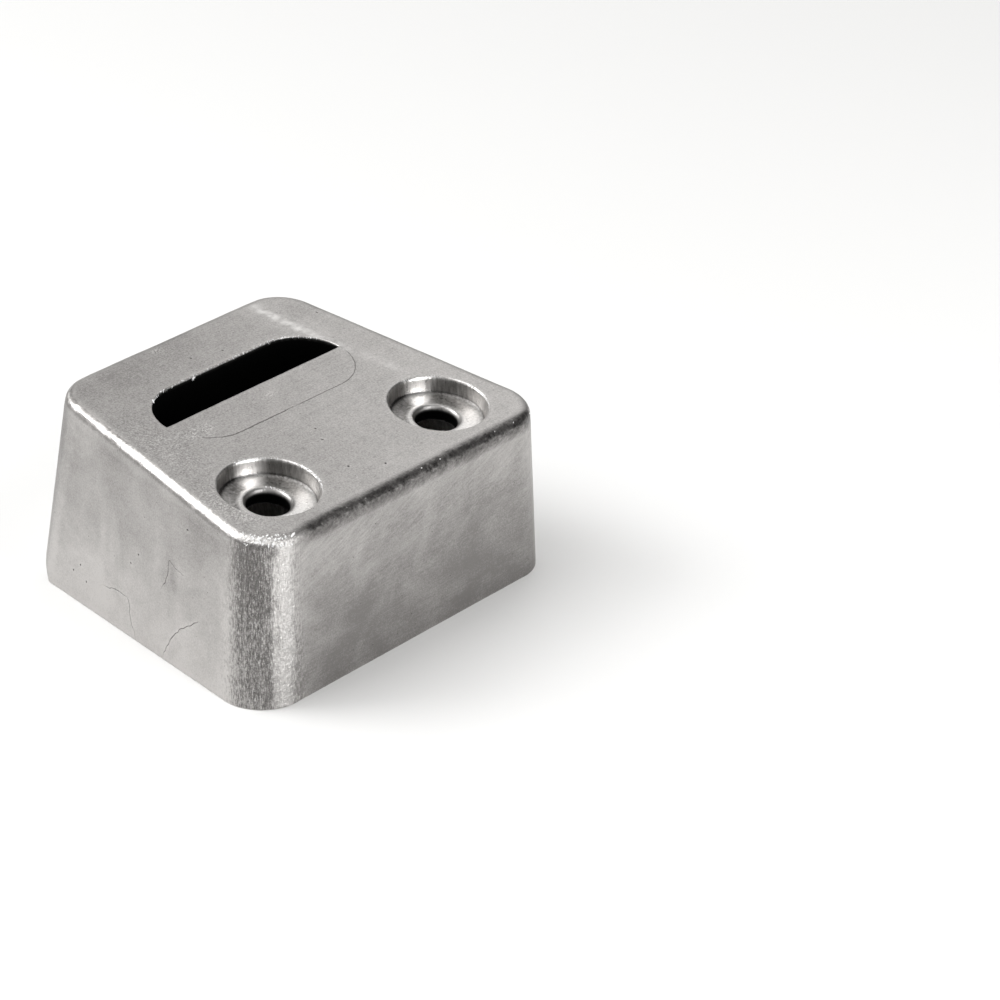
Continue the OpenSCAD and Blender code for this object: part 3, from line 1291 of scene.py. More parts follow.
@dataclass
class Casting:
    """The anode's one-piece casting, with its cast skin, linished rim, bored holes and crusted cavity.

    Attributes:
        form: sizes that tell its surfaces apart.
        crust: height of the crystals on the cavity's floor, in mm.
        swell: slow waviness of the outer skin, in mm.
        edge_ease: how far a sharp edge eases towards its neighbours, from 0 to 1.
        bend_scale: bend in mm from which an edge or a hollow shows in full.
        pit_scale: depth in mm from which a crack or a gas hole shows in full.
        noise: the noise behind its relief and its masks.
        PITCH: point spacing of each zone in mm.
        TOP_EDGE: depth under the front face that the rolled edge reaches, and the spacing there.
        CORNER: reach towards the scuffed corner from which it is fine, and the spacing there.
    """

    form: BlockForm
    crust: float = 0.2
    swell: float = 0.045
    edge_ease: float = 0.5
    bend_scale: float = 0.05
    pit_scale: float = 0.1
    noise: Noise = field(default_factory=lambda: Noise(41))

    PITCH = {
        Zone.FACE: 0.52,
        Zone.SHELL: 0.85,
        Zone.RIM: 0.45,
        Zone.FLOOR: 0.36,
        Zone.WALL: 0.62,
        Zone.BORE: 0.45,
        Zone.POCKET: 0.6,
        Zone.SLOT: 0.5,
    }
    TOP_EDGE = (1.9, 0.34)
    CORNER = (52.5, 0.42)

    def pitch(self, zone: Zone, centre: Array) -> float:
        """Point spacing of a panel in mm: finer on the rolled top edge and the scuffed corner.

        Args:
            zone: the panel's zone.
            centre: its middle, in the part's frame.

        Returns:
            The spacing.
        """
        if zone is Zone.SHELL:
            if self.form.to_local(centre[None])[0, 2] > -self.TOP_EDGE[0]:
                return self.TOP_EDGE[1]
            if -(centre[0] + centre[1]) > self.CORNER[0]:
                return self.CORNER[1]
        return self.PITCH[zone]

    def build(self, source: Object) -> Object:
        """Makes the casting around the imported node.

        Args:
            source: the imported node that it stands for.

        Returns:
            The casting, with its masks and finishes.
        """
        marks = Marks(self.form)
        fine = PanelWork(self.form, self.pitch).build(source, [*marks.grooves(), *marks.pinholes()])
        LOG.info("casting: %d points, %d triangles", len(fine.verts), len(fine.faces))
        links = edge_pairs(fine.faces)
        eased = fine.verts + self.edge_ease * fine.sharp[:, None] * (spread(fine.verts, links) - fine.verts)
        normal = point_normals(eased, fine.faces)
        skin = Skin(eased, self.form.to_local(eased), normal, self._shares(fine), fine.sharp, fine.sink)
        masks = self._masks(marks, skin)
        moved = eased + normal * self._relief(skin, masks)[:, None]
        moved = np.clip(moved, *np.array(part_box(source.name)) / MM)
        bend = spread(((spread(moved, links) - moved) * normal).sum(1), links)
        masks["edge"] = np.clip(-bend / self.bend_scale, 0, 1)
        masks["hollow"] = np.clip(bend / self.bend_scale, 0, 1)
        mesh = mesh_of("casting", moved, fine.faces)
        for name, values in masks.items():
            layer = mesh.attributes.new(name, "FLOAT", "POINT")
            layer.data.foreach_set("value", values.astype(np.float32))
        for finish in (CastSkin(), LinishedRim(), BoredMetal(), CavityCrust()):
            mesh.materials.append(finish.material())
        slot_of = {Zone.RIM: 1, Zone.BORE: 2, Zone.POCKET: 2, Zone.SLOT: 2, Zone.FLOOR: 3, Zone.WALL: 3}
        table = np.array([slot_of.get(z, 0) for z in Zone])
        mesh.polygons.foreach_set("material_index", table[fine.zones].astype(np.int32))
        mesh.polygons.foreach_set("use_smooth", np.ones(len(fine.faces), bool))
        mesh.update()
        return place(mesh)

    def _bore_turn(self, local: Array) -> Array:
        """Angle of local points about the nearer screw hole's axis, in degrees from -90 to 270."""
        across = local[:, 0] - np.sign(local[:, 0]) * self.form.hole_pitch / 2
        turn = np.degrees(np.arctan2(local[:, 1] + self.form.hole_back, across))
        return np.where(turn < -90, turn + 360, turn)

    @staticmethod
    def _shares(fine: FineMesh) -> dict[Zone, Array]:
        """Works out the share of each zone at each point.

        Args:
            fine: the fine mesh.

        Returns:
            The points' shares, by zone.
        """
        weights = np.zeros((len(fine.verts), len(Zone)))
        for k in range(3):
            np.add.at(weights, (fine.faces[:, k], fine.zones), 1.0)
        weights /= np.maximum(weights.sum(1), 1)[:, None]
        return {zone: weights[:, zone.value] for zone in Zone}

    def _masks(self, marks: Marks, skin: Skin) -> dict[str, Array]:
        """Works out where each kind of wear, painted highlight and painted shade lies.

        Args:
            marks: places of the wear.
            skin: the surface.

        Returns:
            A value for each point, by name.
        """
        p, local, part = skin.p, skin.local, skin.part
        patchy = np.clip(0.6 + 0.8 * self.noise.rough(p, 0.9, 2, 9), 0, 1)
        masks = {
            "face": part[Zone.FACE],
            "floor": part[Zone.FLOOR],
            "pit": np.clip(skin.sink / self.pit_scale, 0, 1),
            "streak": marks.bright_streak(p) * part[Zone.FACE] * patchy,
            "sparkle": marks.sparkle(local) * ramp(local[:, 2], -2.5, -0.5),
            "band": marks.rim_band(p) * part[Zone.RIM],
        }
        return masks | self._shell_masks(marks, skin) | self._recess_masks(skin)

    def _shell_masks(self, marks: Marks, skin: Skin) -> dict[str, Array]:
        """Works out the wear of the side walls and of the rolled edge at their top, and the painted
        highlights and painted shade on them.

        Args:
            marks: places of the wear.
            skin: the surface.

        Returns:
            A value for each point, by name.
        """
        p, local, normal, shell = skin.p, skin.local, skin.normal, skin.part[Zone.SHELL]
        noise, up = self.noise, normal @ self.form.face_normal
        ragged = noise.rough(p, (1.6, 1.6, 1.6), 3, 5)
        west, far = ramp(-normal[:, 0], 0.15, 0.4), ramp(p[:, 1], -6, 14)
        rolled = ramp(up, 0.12, 0.4) * ramp(-up, -0.99, -0.9) * shell * ramp(local[:, 2], -4.5, -2.5)
        ridge = ramp(0.36 - 0.19 * far - np.abs(up - 0.7) - 0.07 * ragged, 0, 0.2 - 0.09 * far)
        turn = np.degrees(np.arctan2(-normal[:, 1], -normal[:, 0]))
        turn = turn + 6 * noise.rough(p, (2.0, 2.0, 4.0), 2, 21)
        corner = marks.near_corner(p) * shell
        upright = corner * ramp(-np.abs(normal[:, 2]), -0.6, -0.3)
        u, v, w = local.T
        south_edge = ramp(-v, 25.5, 26.4) * ramp(w, -2.9, -1.2) * ramp(u, -25, -20)
        stain = np.hypot((p[:, 1] + 6.4) / 2.2, (p[:, 2] - 14.3) / 3.4) + 0.4 * ragged
        return {
            # the wide end, which takes painted shade and heavier strokes in the skin
            "south": shell * ramp(-normal[:, 1], 0.6, 0.9),
            # painted shade where the -X side turns towards the far end
            "far_turn": shell * ramp(normal[:, 1], 0.12, 0.6) * ramp(-normal[:, 0], 0.1, 0.5),
            "stain": shell * west * ramp(-stain, -1.2, -0.3),
            "scuff": corner,
            # painted shade: a dark band down the scuffed corner, placed by which way its surface faces
            "grime": upright * ramp(turn, -2, 22) * ramp(-turn, -64, -48),
            # painted highlight: a bright band down the scuffed corner, placed by which way its surface faces
            "polish": upright * ramp(turn, 52, 68) * ramp(-turn, -92, -80),
            # a painted highlight along the rolled -X edge, and worn metal on that edge with painted shade
            # beside the highlight
            "ridge": rolled * west * ridge,
            "rubbed": np.clip(rolled * west * (0.8 + 0.5 * ragged), 0, 1),
            # painted shade along the wide end's top edge
            "shadow_edge": south_edge * np.clip(1 + 0.35 * ragged, 0, 1.2),
        }

    def _recess_masks(self, skin: Skin) -> dict[str, Array]:
        """Works out the painted near-black shade deep in the slot and the holes, the painted shade at the
        holes' mouths, and the painted highlights and shade of the counterbores.

        Args:
            skin: the surface.

        Returns:
            A value for each point, by name.
        """
        local, normal, bore = skin.local, skin.normal, skin.part[Zone.BORE]
        up, w = normal @ self.form.face_normal, local[:, 2]
        in_slot = skin.part[Zone.SLOT] * ramp(-w, 0.05, 0.4) * ramp(w, -11.5, -10.5)
        in_slot *= ramp(-normal[:, 1], -0.6, -0.2) * ramp(up, -0.6, -0.3)
        hole, turned = self.form.hole_distance(local), self._bore_turn(local)
        in_hole = bore * ramp(-w, 2.9, 3.5) * ramp(-hole, -3.9, -3.6) * (up > -0.5)
        seat_out = bore * (hole > 4.4)
        # painted shade and painted highlight in bands round each counterbore's wall, by the angle about its
        # hole
        dark = ramp(turned, 74, 100) + 0.5 * ramp(turned, -14, 8) * ramp(-turned, -58, -40)
        bright = ramp(turned, 42, 62) * ramp(-turned, -94, -74) + 0.4 * ramp(-turned, 8, 24)
        return {
            # painted shade: near black deep in the slot and the through holes, and dark on the bevel at each
            # through hole's mouth
            "inside": np.clip(in_slot + in_hole, 0, 1),
            "mouth": bore * ramp(-np.abs(hole - 3.6), -0.55, -0.3) * ramp(-w, 2.4, 2.6) * (up > -0.5),
            "line": bore * ramp(-np.abs(w + 2.45), -0.24, -0.06) * ramp(hole, 6.5, 6.8),
            "bore_dark": seat_out * dark,
            "bore_bright": seat_out * bright,
        }

    def _relief(self, skin: Skin, masks: dict[str, Array]) -> Array:
        """Works out how far each point moves along its own direction, in mm.

        Args:
            skin: the surface.
            masks: the kinds of wear.

        Returns:
            The distances, outwards where positive.
        """
        noise, p, local, part = self.noise, skin.p, skin.local, skin.part
        wave = noise.smooth(p, 13, 1) + 0.5 * noise.smooth(p, 5.5, 2)
        relief = (part[Zone.SHELL] * self.swell + part[Zone.FACE] * 0.4 * self.swell) * (wave - 1.0)
        dent = np.clip(0.75 - noise.cells(p, 1.3, 3), 0, 1)
        hammered = -0.07 * dent + 0.04 * noise.rough(p, (0.7, 0.7, 2.0), 2, 4)
        relief += masks["scuff"] * (hammered - 0.01)
        relief += masks["rubbed"] * 0.045 * (noise.rough(p, (0.8, 1.6, 0.8), 3, 6) - 0.6)
        relief += masks["shadow_edge"] * 0.035 * (noise.rough(p, 0.8, 2, 7) - 0.5)
        relief += masks["sparkle"] * part[Zone.FACE] * 0.07 * (noise.rough(p, 0.9, 2, 8) - 0.6)
        fade = 1 - 0.8 * ramp(local[:, 1], 1, 14)
        grain, small = noise.cells(p, 1.1, 12), noise.cells(p, 0.6, 13)
        crystal = self.crust * (0.9 * (0.6 - grain) + 0.5 * (0.6 - small) + 0.5 * noise.rough(p, 2.6, 2, 14))
        relief += part[Zone.FLOOR] * fade * crystal
        relief += part[Zone.WALL] * (0.07 * noise.rough(p, 2.4, 3, 15) - 0.03)
        rings = np.sin(local[:, 2] * 5.2 + 0.6 * noise.smooth(p, 4, 16))
        relief += part[Zone.POCKET] * (0.018 * rings + 0.03 * noise.rough(p, 2.2, 2, 17))
        relief += part[Zone.SLOT] * 0.025 * (noise.rough(p, 2.0, 3, 18) - 0.5)
        relief += part[Zone.RIM] * 0.012 * (noise.smooth(p, (1.2, 14, 3), 19) - 0.8) - masks["band"] * 0.28
        lip = skin.sharp * noise.rough(p, 0.85, 2, 20)
        inner = ramp(-np.abs(p[:, 2]), -0.3, 0.0) * (part[Zone.WALL] > 0)
        relief += lip * (0.02 + 0.075 * inner)
        return relief - skin.sink


def edge_pairs(faces: Array) -> Array:
    """Lists each pair of neighbouring points once."""
    pairs = np.concatenate([faces[:, [0, 1]], faces[:, [1, 2]], faces[:, [2, 0]]])
    return np.unique(np.sort(pairs, axis=1), axis=0)


def spread(values: Array, links: Array) -> Array:
    """Gives each point the mean of its neighbours' values.

    Args:
        values: a value, or several, for each point.
        links: pairs of neighbouring points.

    Returns:
        The mean for each point.
    """
    total = np.zeros_like(values, dtype=float)
    count = np.zeros(len(values))
    for a, b in ((0, 1), (1, 0)):
        np.add.at(total, links[:, a], values[links[:, b]])
        np.add.at(count, links[:, a], 1.0)
    count = np.maximum(count, 1)
    return total / (count[:, None] if values.ndim > 1 else count)


def point_normals(verts: Array, faces: Array) -> Array:
    """Works out the outward direction at each point.

    Args:
        verts: the points.
        faces: their triangles.

    Returns:
        A direction for each point.
    """
    p = verts[faces]
    out = np.cross(p[:, 1] - p[:, 0], p[:, 2] - p[:, 0])
    out /= np.sqrt(np.maximum(np.linalg.norm(out, axis=1), SMALL))[:, None]
    total = np.zeros_like(verts)
    for k in range(3):
        np.add.at(total, faces[:, k], out)
    return unit_rows(total)


def mesh_of(name: str, verts: Array, faces: Array) -> Mesh:
    """Makes a mesh from points in mm and triangles.

    Args:
        name: the mesh's name.
        verts: the points.
        faces: the triangles.

    Returns:
        The mesh, in metres.
    """
    mesh = bpy.data.meshes.new(name)
    mesh.from_pydata((verts * MM).tolist(), [], faces.tolist())
    mesh.validate()
    return mesh


def place(data: ID) -> Object:
    """Puts a finished mesh, a lamp or the camera into the scene, at the origin."""
    thing = bpy.data.objects.new(data.name, data)
    bpy.context.scene.collection.objects.link(thing)
    return thing


def add_node(
    tree: NodeTree, kind: str, settings: dict | None = None, inputs: dict | None = None
) -> Node:
    """Adds a node to a tree.

    Args:
        tree: the tree.
        kind: the node's type.
        settings: its properties, set first.
        inputs: values or links of its sockets, by name or number. A node stands for its first output.

    Returns:
        The node.
    """
    node = tree.nodes.new(kind)
    for key, value in (settings or {}).items():
        setattr(node, key, value)
    for key, value in (inputs or {}).items():
        source = value.socket if isinstance(value, Signal) else value
        source = source.outputs[0] if isinstance(source, Node) else source
        if isinstance(source, NodeSocket):
            tree.links.new(source, node.inputs[key])
        else:
            node.inputs[key].default_value = source
    return node


@dataclass(frozen=True)
class Signal:
    """A number that changes over a surface, so that shader maths reads as plain expressions."""

    recipe: "Recipe"
    socket: NodeSocket

    def _with(self, operation: str, *values: "Signal | float", clamp: bool = False) -> "Signal":
        """Adds one Math node."""
        settings = {"operation": operation, "use_clamp": clamp}
        node = self.recipe.node("ShaderNodeMath", settings, dict(enumerate(values)))
        return Signal(self.recipe, node.outputs[0])

    def __add__(self, other: "Signal | float") -> "Signal":
        """Adds."""
        return self._with("ADD", self, other)

    __radd__ = __add__

    def __sub__(self, other: "Signal | float") -> "Signal":
        """Takes away."""
        return self._with("SUBTRACT", self, other)

    def __rsub__(self, other: float) -> "Signal":
        """Takes this away from a number."""
        return self._with("SUBTRACT", other, self)

    def __mul__(self, other: "Signal | float") -> "Signal":
        """Multiplies."""
        return self._with("MULTIPLY", self, other)

    __rmul__ = __mul__

    def held(self) -> "Signal":
        """Keeps the number between 0 and 1."""
        return self._with("ADD", self, 0.0, clamp=True)

    def over(self, low: float, high: float) -> "Signal":
        """Runs from 0 at low to 1 at high, held at both ends."""
        span = {"Value": self, "From Min": low, "From Max": high}
        node = self.recipe.node("ShaderNodeMapRange", {"interpolation_type": "SMOOTHSTEP"}, span)
        return Signal(self.recipe, node.outputs[0])


class Recipe:
    """The nodes of one material. Patterns are given in mm on the piece's own coordinates."""

    def __init__(self, name: str) -> None:
        """Starts an empty material.

        Args:
            name: its name.
        """
        self.material = bpy.data.materials.new(name)
        self.material.use_nodes = True
        self.tree = self.material.node_tree
        self.tree.nodes.clear()
        self.place = self.node("ShaderNodeTexCoord").outputs["Object"]

    def node(self, kind: str, settings: dict | None = None, inputs: dict | None = None) -> Node:
        """Adds a node with its settings, and the values or links of its sockets."""
        return add_node(self.tree, kind, settings, inputs)

    def noise(
        self,
        size: float,
        detail: float = 2.0,
        rough: float = 0.5,
        stretch: Spot = (1, 1, 1),
        turn: Spot = (0, 0, 0),
        warp: float = 0.0,
    ) -> Signal:
        """Soft noise from 0 to 1.

        Args:
            size: size of the pattern in mm.
            detail: how many finer layers it has.
            rough: strength of the finer layers.
            stretch: how far it is drawn out along each axis.
            turn: turn of the pattern, in radians.
            warp: how far it is twisted.

        Returns:
            The noise.
        """
        mapping = {"Vector": self.place, "Rotation": turn, "Scale": stretch}
        where = self.node("ShaderNodeMapping", {"vector_type": "TEXTURE"}, mapping)
        inputs = {"Vector": where, "Scale": 1 / (size * MM), "Detail": detail}
        inputs |= {"Roughness": rough, "Distortion": warp}
        return Signal(self, self.node("ShaderNodeTexNoise", None, inputs).outputs[0])

    def cells(self, size: float) -> Signal:
        """Distance inside cells of a size in mm, counted in cells."""
        inputs = {"Vector": self.place, "Scale": 1 / (size * MM)}
        return Signal(self, self.node("ShaderNodeTexVoronoi", None, inputs).outputs["Distance"])

    def slope(self, way: Spot, low: float, high: float) -> Signal:
        """Runs from 0 to 1 along a direction, between two distances in mm from the origin."""
        way_out = {0: self.place, 1: tuple(w / MM for w in way)}
        node = self.node("ShaderNodeVectorMath", {"operation": "DOT_PRODUCT"}, way_out)
        return Signal(self, node.outputs["Value"]).over(low, high)

    def masks(self, *names: str) -> list[Signal]:
        """Reads some of the piece's own masks."""
        found = [self.node("ShaderNodeAttribute", {"attribute_name": name}) for name in names]
        return [Signal(self, node.outputs["Fac"]) for node in found]

    def blend(self, a: Colour | NodeSocket, b: Colour, share: Signal) -> NodeSocket:
        """Mixes two colours by a share of the second."""
        first = a if isinstance(a, NodeSocket) else (*a, 1)
        mix = self.node("ShaderNodeMix", {"data_type": "RGBA"}, {0: share, 6: first, 7: (*b, 1)})
        return mix.outputs[2]

    def surface(
        self, colour: NodeSocket, rough: Signal | float, metal: Signal | float, height: Signal
    ) -> Material:
        """Ends the material in its shader.

        Args:
            colour: its base colour.
            rough: its roughness.
            metal: how metallic it is.
            height: the height of its fine relief, in mm.

        Returns:
            The finished material.
        """
        bump = self.node("ShaderNodeBump", None, {"Height": height, "Distance": MM, "Strength": 1.0})
        inputs = {"Base Color": colour, "Roughness": rough, "Metallic": metal, "Normal": bump}
        shader = self.node("ShaderNodeBsdfPrincipled", None, inputs)
        self.node("ShaderNodeOutputMaterial", None, {"Surface": shader})
        return self.material


@dataclass(frozen=True)
class CastSkin:
    """The satin skin of the casting: fine grain, brush streaks, soft clouds, cracks and rubbed edges, with
    painted highlights and painted shade on its rolled edges, its scuffed corner and its walls.
    """

    light: Colour = (0.57, 0.553, 0.54)
    dark: Colour = (0.25, 0.24, 0.233)
    burnish_and_highlight: Colour = (0.76, 0.745, 0.73)
    crack: Colour = (0.03, 0.027, 0.025)
    painted_shade: Colour = (0.07, 0.067, 0.065)
    rough: float = 0.44

    def material(self) -> Material:
        """Makes the finish.

        Returns:
            The material.
        """
        r = Recipe("cast_skin")
        grain, tooth = r.noise(0.24, 3, 0.7), r.noise(0.6, 3, 0.65)
        cloud, mottle = r.noise(9.0, 3, 0.55, warp=0.6), r.noise(2.2, 4, 0.62)
        lines = r.noise(0.2, 3, 0.6, (45, 1, 1))
        strokes = r.noise(0.34, 3, 0.62, (14, 14, 1), (0, -0.42, 0))
        brushed = r.noise(0.3, 2, 0.6, (1.0, 1.0, 14), (0.5, 0, 0))
        ticks = r.noise(0.17, 2, 0.6, (1, 1, 6))
        torn = r.noise(0.9, 4, 0.75, (1, 1.6, 1)).over(0.42, 0.58)
        speck, crumb = r.cells(2.3).over(0.05, 0.025), r.cells(0.32)
        pit, edge, hollow, face, south = r.masks("pit", "edge", "hollow", "face", "south")
        scuff, rubbed, ridge, streak, sparkle = r.masks("scuff", "rubbed", "ridge", "streak", "sparkle")
        grime, polish, shade, stain, far_turn = r.masks("grime", "polish", "shadow_edge", "stain", "far_turn")
        glint = r.noise(0.34, 3, 0.8).over(0.49, 0.6) * sparkle
        fleck = r.noise(0.3, 3, 0.7, (1, 1, 1.8)).over(0.46, 0.72) * scuff
        nearer = r.slope((0.8, -0.6, 0.0), -34, 34)
        lower = r.slope((0.0, 0.0, -1.0), -28, -1)
        # how light the metal is: clouds, grain and strokes, painted light and shade over each side and down
        # the walls, and wear at the edges
        tone = 0.5 + (cloud - 0.5) * (1.0 - face * 0.45) + (mottle - 0.5) * 0.3 + (lines - 0.5) * 0.5
        tone = tone + (grain - 0.5) * (1.1 + face * 0.5 + scuff * 0.5) + (0.46 - crumb) * (0.15 + face * 0.25)
        # painted light and shade: the front face lighter towards the near right, the wide end darker towards
        # the bottom, the other walls lighter towards the bottom
        tone = tone + (nearer - 0.5) * face * 0.45 + (lower - 0.5) * (1.0 - face) * (0.5 - south * 0.95)
        tone = tone + (strokes - 0.5) * (0.2 + south * 0.8) * (0.9 - lower) + edge * 0.3 - hollow * 0.3
        # painted shade on the scuffed corner's dark band, the wide end's top edge and the -X side's far turn,
        # and a stain on the -X side
        tone = tone - grime * 0.4 - shade * 0.5 - stain * 0.3 - far_turn * 0.45
        # painted shade on the wide end, deeper towards its near right, and painted light on the other walls
        tone = tone - south * (0.05 + nearer * 0.18) + (1.0 - south) * (1.0 - face) * 0.12
        # the scuffed corner's tooth and ticks, and painted shade along the rolled -X edge beside its painted
        # highlight
        tone = tone + scuff * ((tooth - 0.5) * 2.0 + (ticks - 0.5) * 3.2) - (rubbed - ridge) * 0.9
        colour = r.blend(self.dark, self.light, tone.held())
        # painted highlights along the rolled -X edge and down the scuffed corner, painted glints where the
        # face sparkles, and bright rubbed metal in the streak and the corner's flecks
        shine = ridge * (0.5 + torn * 0.4) + streak * 0.95 + polish * 0.4 + fleck * 0.2 + glint * 0.9
        colour = r.blend(colour, self.burnish_and_highlight, shine.held())
        # painted shade: the scuffed corner's dark band and the wide end's top edge are mixed towards near
        # black
        painted_shade = grime * (0.4 - (ticks - 0.5) * 1.3 - (grain - 0.5) * 1.2)
        colour = r.blend(colour, self.painted_shade, (painted_shade + shade * (0.55 - (tooth - 0.5) * 2.0)).held())
        colour = r.blend(colour, self.crack, (pit * 0.95 + speck * 0.7).held())
        rough = self.rough + (cloud - 0.5) * 0.16 + (grain - 0.5) * 0.2 + (lines - 0.5) * 0.12
        rough = rough + scuff * 0.1 - streak * 0.12 - glint * 0.16 - fleck * 0.1
        rough = rough - ridge * 0.1 - shade * 0.1 + pit * 0.3
        # the fine relief in mm: grain and strokes, and a rugged tooth where the metal is scuffed or torn
        rugged = scuff * 0.2 + sparkle * 0.16 + shade * 0.06 + rubbed * 0.08
        height = (grain - 0.5) * (0.03 + face * 0.015) + (tooth - 0.5) * 0.03 + (lines - 0.5) * 0.006
        height = height + (brushed - 0.5) * 0.004 + (strokes - 0.5) * 0.006 + rugged * (tooth - 0.5)
        height = height + scuff * (ticks - 0.5) * 0.05 - crumb * 0.005 - speck * 0.03
        return r.surface(colour, rough, 1.0 - pit * 0.8, height)


@dataclass(frozen=True)
class LinishedRim:
    """The rim, linished flat: fine scratches one way over dull metal."""

    light: Colour = (0.74, 0.725, 0.71)
    dark: Colour = (0.5, 0.485, 0.47)
    pit: Colour = (0.06, 0.055, 0.05)

    def material(self) -> Material:
        """Makes the finish.

        Returns:
            The material.
        """
        r = Recipe("linished_rim")
        scratch = r.noise(0.12, 2, 0.7, (1, 60, 1), (0, 0, 0.05))
        coarse = r.noise(0.5, 2, 0.6, (1, 30, 1), (0, 0, 0.03))
        cloud = r.noise(8, 2, 0.5)
        edge, band, pit = r.masks("edge", "band", "pit")
        tone = 0.6 + (scratch - 0.5) * 0.8 + (coarse - 0.5) * 0.8 + (cloud - 0.5) * 0.6
        tone = tone + edge * 0.6 - band * 0.25
        colour = r.blend(r.blend(self.dark, self.light, tone.held()), self.pit, pit * 0.85)
        rough = 0.33 + (scratch - 0.5) * 0.2 + (cloud - 0.5) * 0.1 + band * 0.08
        return r.surface(colour, rough, 1.0 - pit * 0.9, (scratch - 0.5) * 0.012 + (coarse - 0.5) * 0.01)


@dataclass(frozen=True)
class BoredMetal:
    """Bored and moulded recesses: smoother and brighter, with tool chatter round the bores, painted
    highlights and shade on the counterbores, and painted near-black shade deep inside.
    """

    light: Colour = (0.68, 0.665, 0.65)
    dark: Colour = (0.32, 0.31, 0.3)
    polish: Colour = (0.9, 0.885, 0.87)
    pit: Colour = (0.03, 0.028, 0.027)
    unlit: Colour = (0.004, 0.004, 0.004)

    def material(self) -> Material:
        """Makes the finish.

        Returns:
            The material.
        """
        r = Recipe("bored_metal")
        chatter = r.noise(0.42, 2, 0.6, (1, 1, 9), (-0.12, 0, 0))
        grain = r.noise(0.22, 2, 0.65)
        cloud = r.noise(4, 3, 0.6)
        edge, hollow, pit, inside = r.masks("edge", "hollow", "pit", "inside")
        bore_shade, bore_highlight, line, mouth = r.masks("bore_dark", "bore_bright", "line", "mouth")
        tone = 0.55 + (chatter - 0.5) * 1.5 + (cloud - 0.5) * 0.8 + (grain - 0.5) * 0.8
        tone = tone + edge * 0.8 - hollow * 0.3 - bore_shade * 0.4
        colour = r.blend(self.dark, self.light, tone.held())
        # painted highlight on the counterbore walls
        colour = r.blend(colour, self.polish, (bore_highlight * (0.4 + chatter)).held())
        # the dark witness line, and painted shade on the bevel at the through hole's mouth and on the
        # counterbore walls
        line_and_shade = line * (0.5 + grain * 0.4) + mouth * (0.9 - cloud * 0.8) + bore_shade * (0.75 - chatter * 0.7)
        colour = r.blend(colour, self.pit, (pit * 0.8 + line_and_shade).held())
        # painted shade: near black deep in the slot and the through holes
        colour = r.blend(colour, self.unlit, inside)
        rough = 0.33 + (cloud - 0.5) * 0.14 + (chatter - 0.5) * 0.2 + (grain - 0.5) * 0.2 + inside * 0.5
        return r.surface(colour, rough, 1.0 - pit * 0.8, (chatter - 0.5) * 0.045 + (grain - 0.5) * 0.02)


@dataclass(frozen=True)
class CavityCrust:
    """The rough cast inside: crystalline floor and dull walls."""

    light: Colour = (0.72, 0.705, 0.69)
    dark: Colour = (0.2, 0.19, 0.185)
    pit: Colour = (0.03, 0.028, 0.027)

    def material(self) -> Material:
        """Makes the finish.

        Returns:
            The material.
        """
        r = Recipe("cavity_crust")
        grit, lump, cloud, crystal = r.noise(0.3, 3, 0.65), r.noise(1.1, 3, 0.6), r.noise(6), r.cells(0.55)
        pit, edge, hollow, floor = r.masks("pit", "edge", "hollow", "floor")
        tone = 0.4 + (cloud - 0.5) * 0.6 + (lump - 0.5) * 0.7 + edge * 1.2 - hollow * 0.8 + floor * 0.3
        colour = r.blend(self.dark, self.light, (tone + floor * (0.5 - crystal) * 0.7).held())
        colour = r.blend(colour, self.pit, pit * 0.9)
        rough = 0.42 + (grit - 0.5) * 0.3 - edge * 0.1
        height = (grit - 0.5) * 0.06 + (lump - 0.5) * 0.06 - floor * crystal * 0.14
        return r.surface(colour, rough, 1.0 - pit * 0.8, height)


@dataclass(frozen=True)
class TornMetal:
    """Bright torn metal of burrs and droplets."""

    bright: Colour = (0.86, 0.85, 0.83)
    dull: Colour = (0.6, 0.585, 0.57)

    def material(self) -> Material:
        """Makes the finish.

        Returns:
            The material.
        """
        r = Recipe("torn_metal")
        grain = r.noise(0.2, 2, 0.6)
        colour = r.blend(self.dull, self.bright, grain.over(0.3, 0.7))
        return r.surface(colour, 0.22 + grain * 0.16, 1.0, grain * 0.01)


@dataclass(frozen=True)
class PaleSweep:
    """The studio's matt pale floor."""

    colour: Colour = (0.83, 0.83, 0.825)
    shade: float = 0.985

    def material(self) -> Material:
        """Makes the finish.

        Returns:
            The material.
        """
        r = Recipe("pale_sweep")
        colour = r.blend(tuple(self.shade * c for c in self.colour), self.colour, r.noise(260))
        return r.surface(colour, 0.75, 0.0, r.noise(1.2) * 0.002)


@dataclass(frozen=True)
class BurrLine:
    """One run of burr beads: its route in mm, their spacing, size and stray in mm, and the run's seed."""

    route: Array
    spacing: float
    size: float
    stray: float
    seed: int


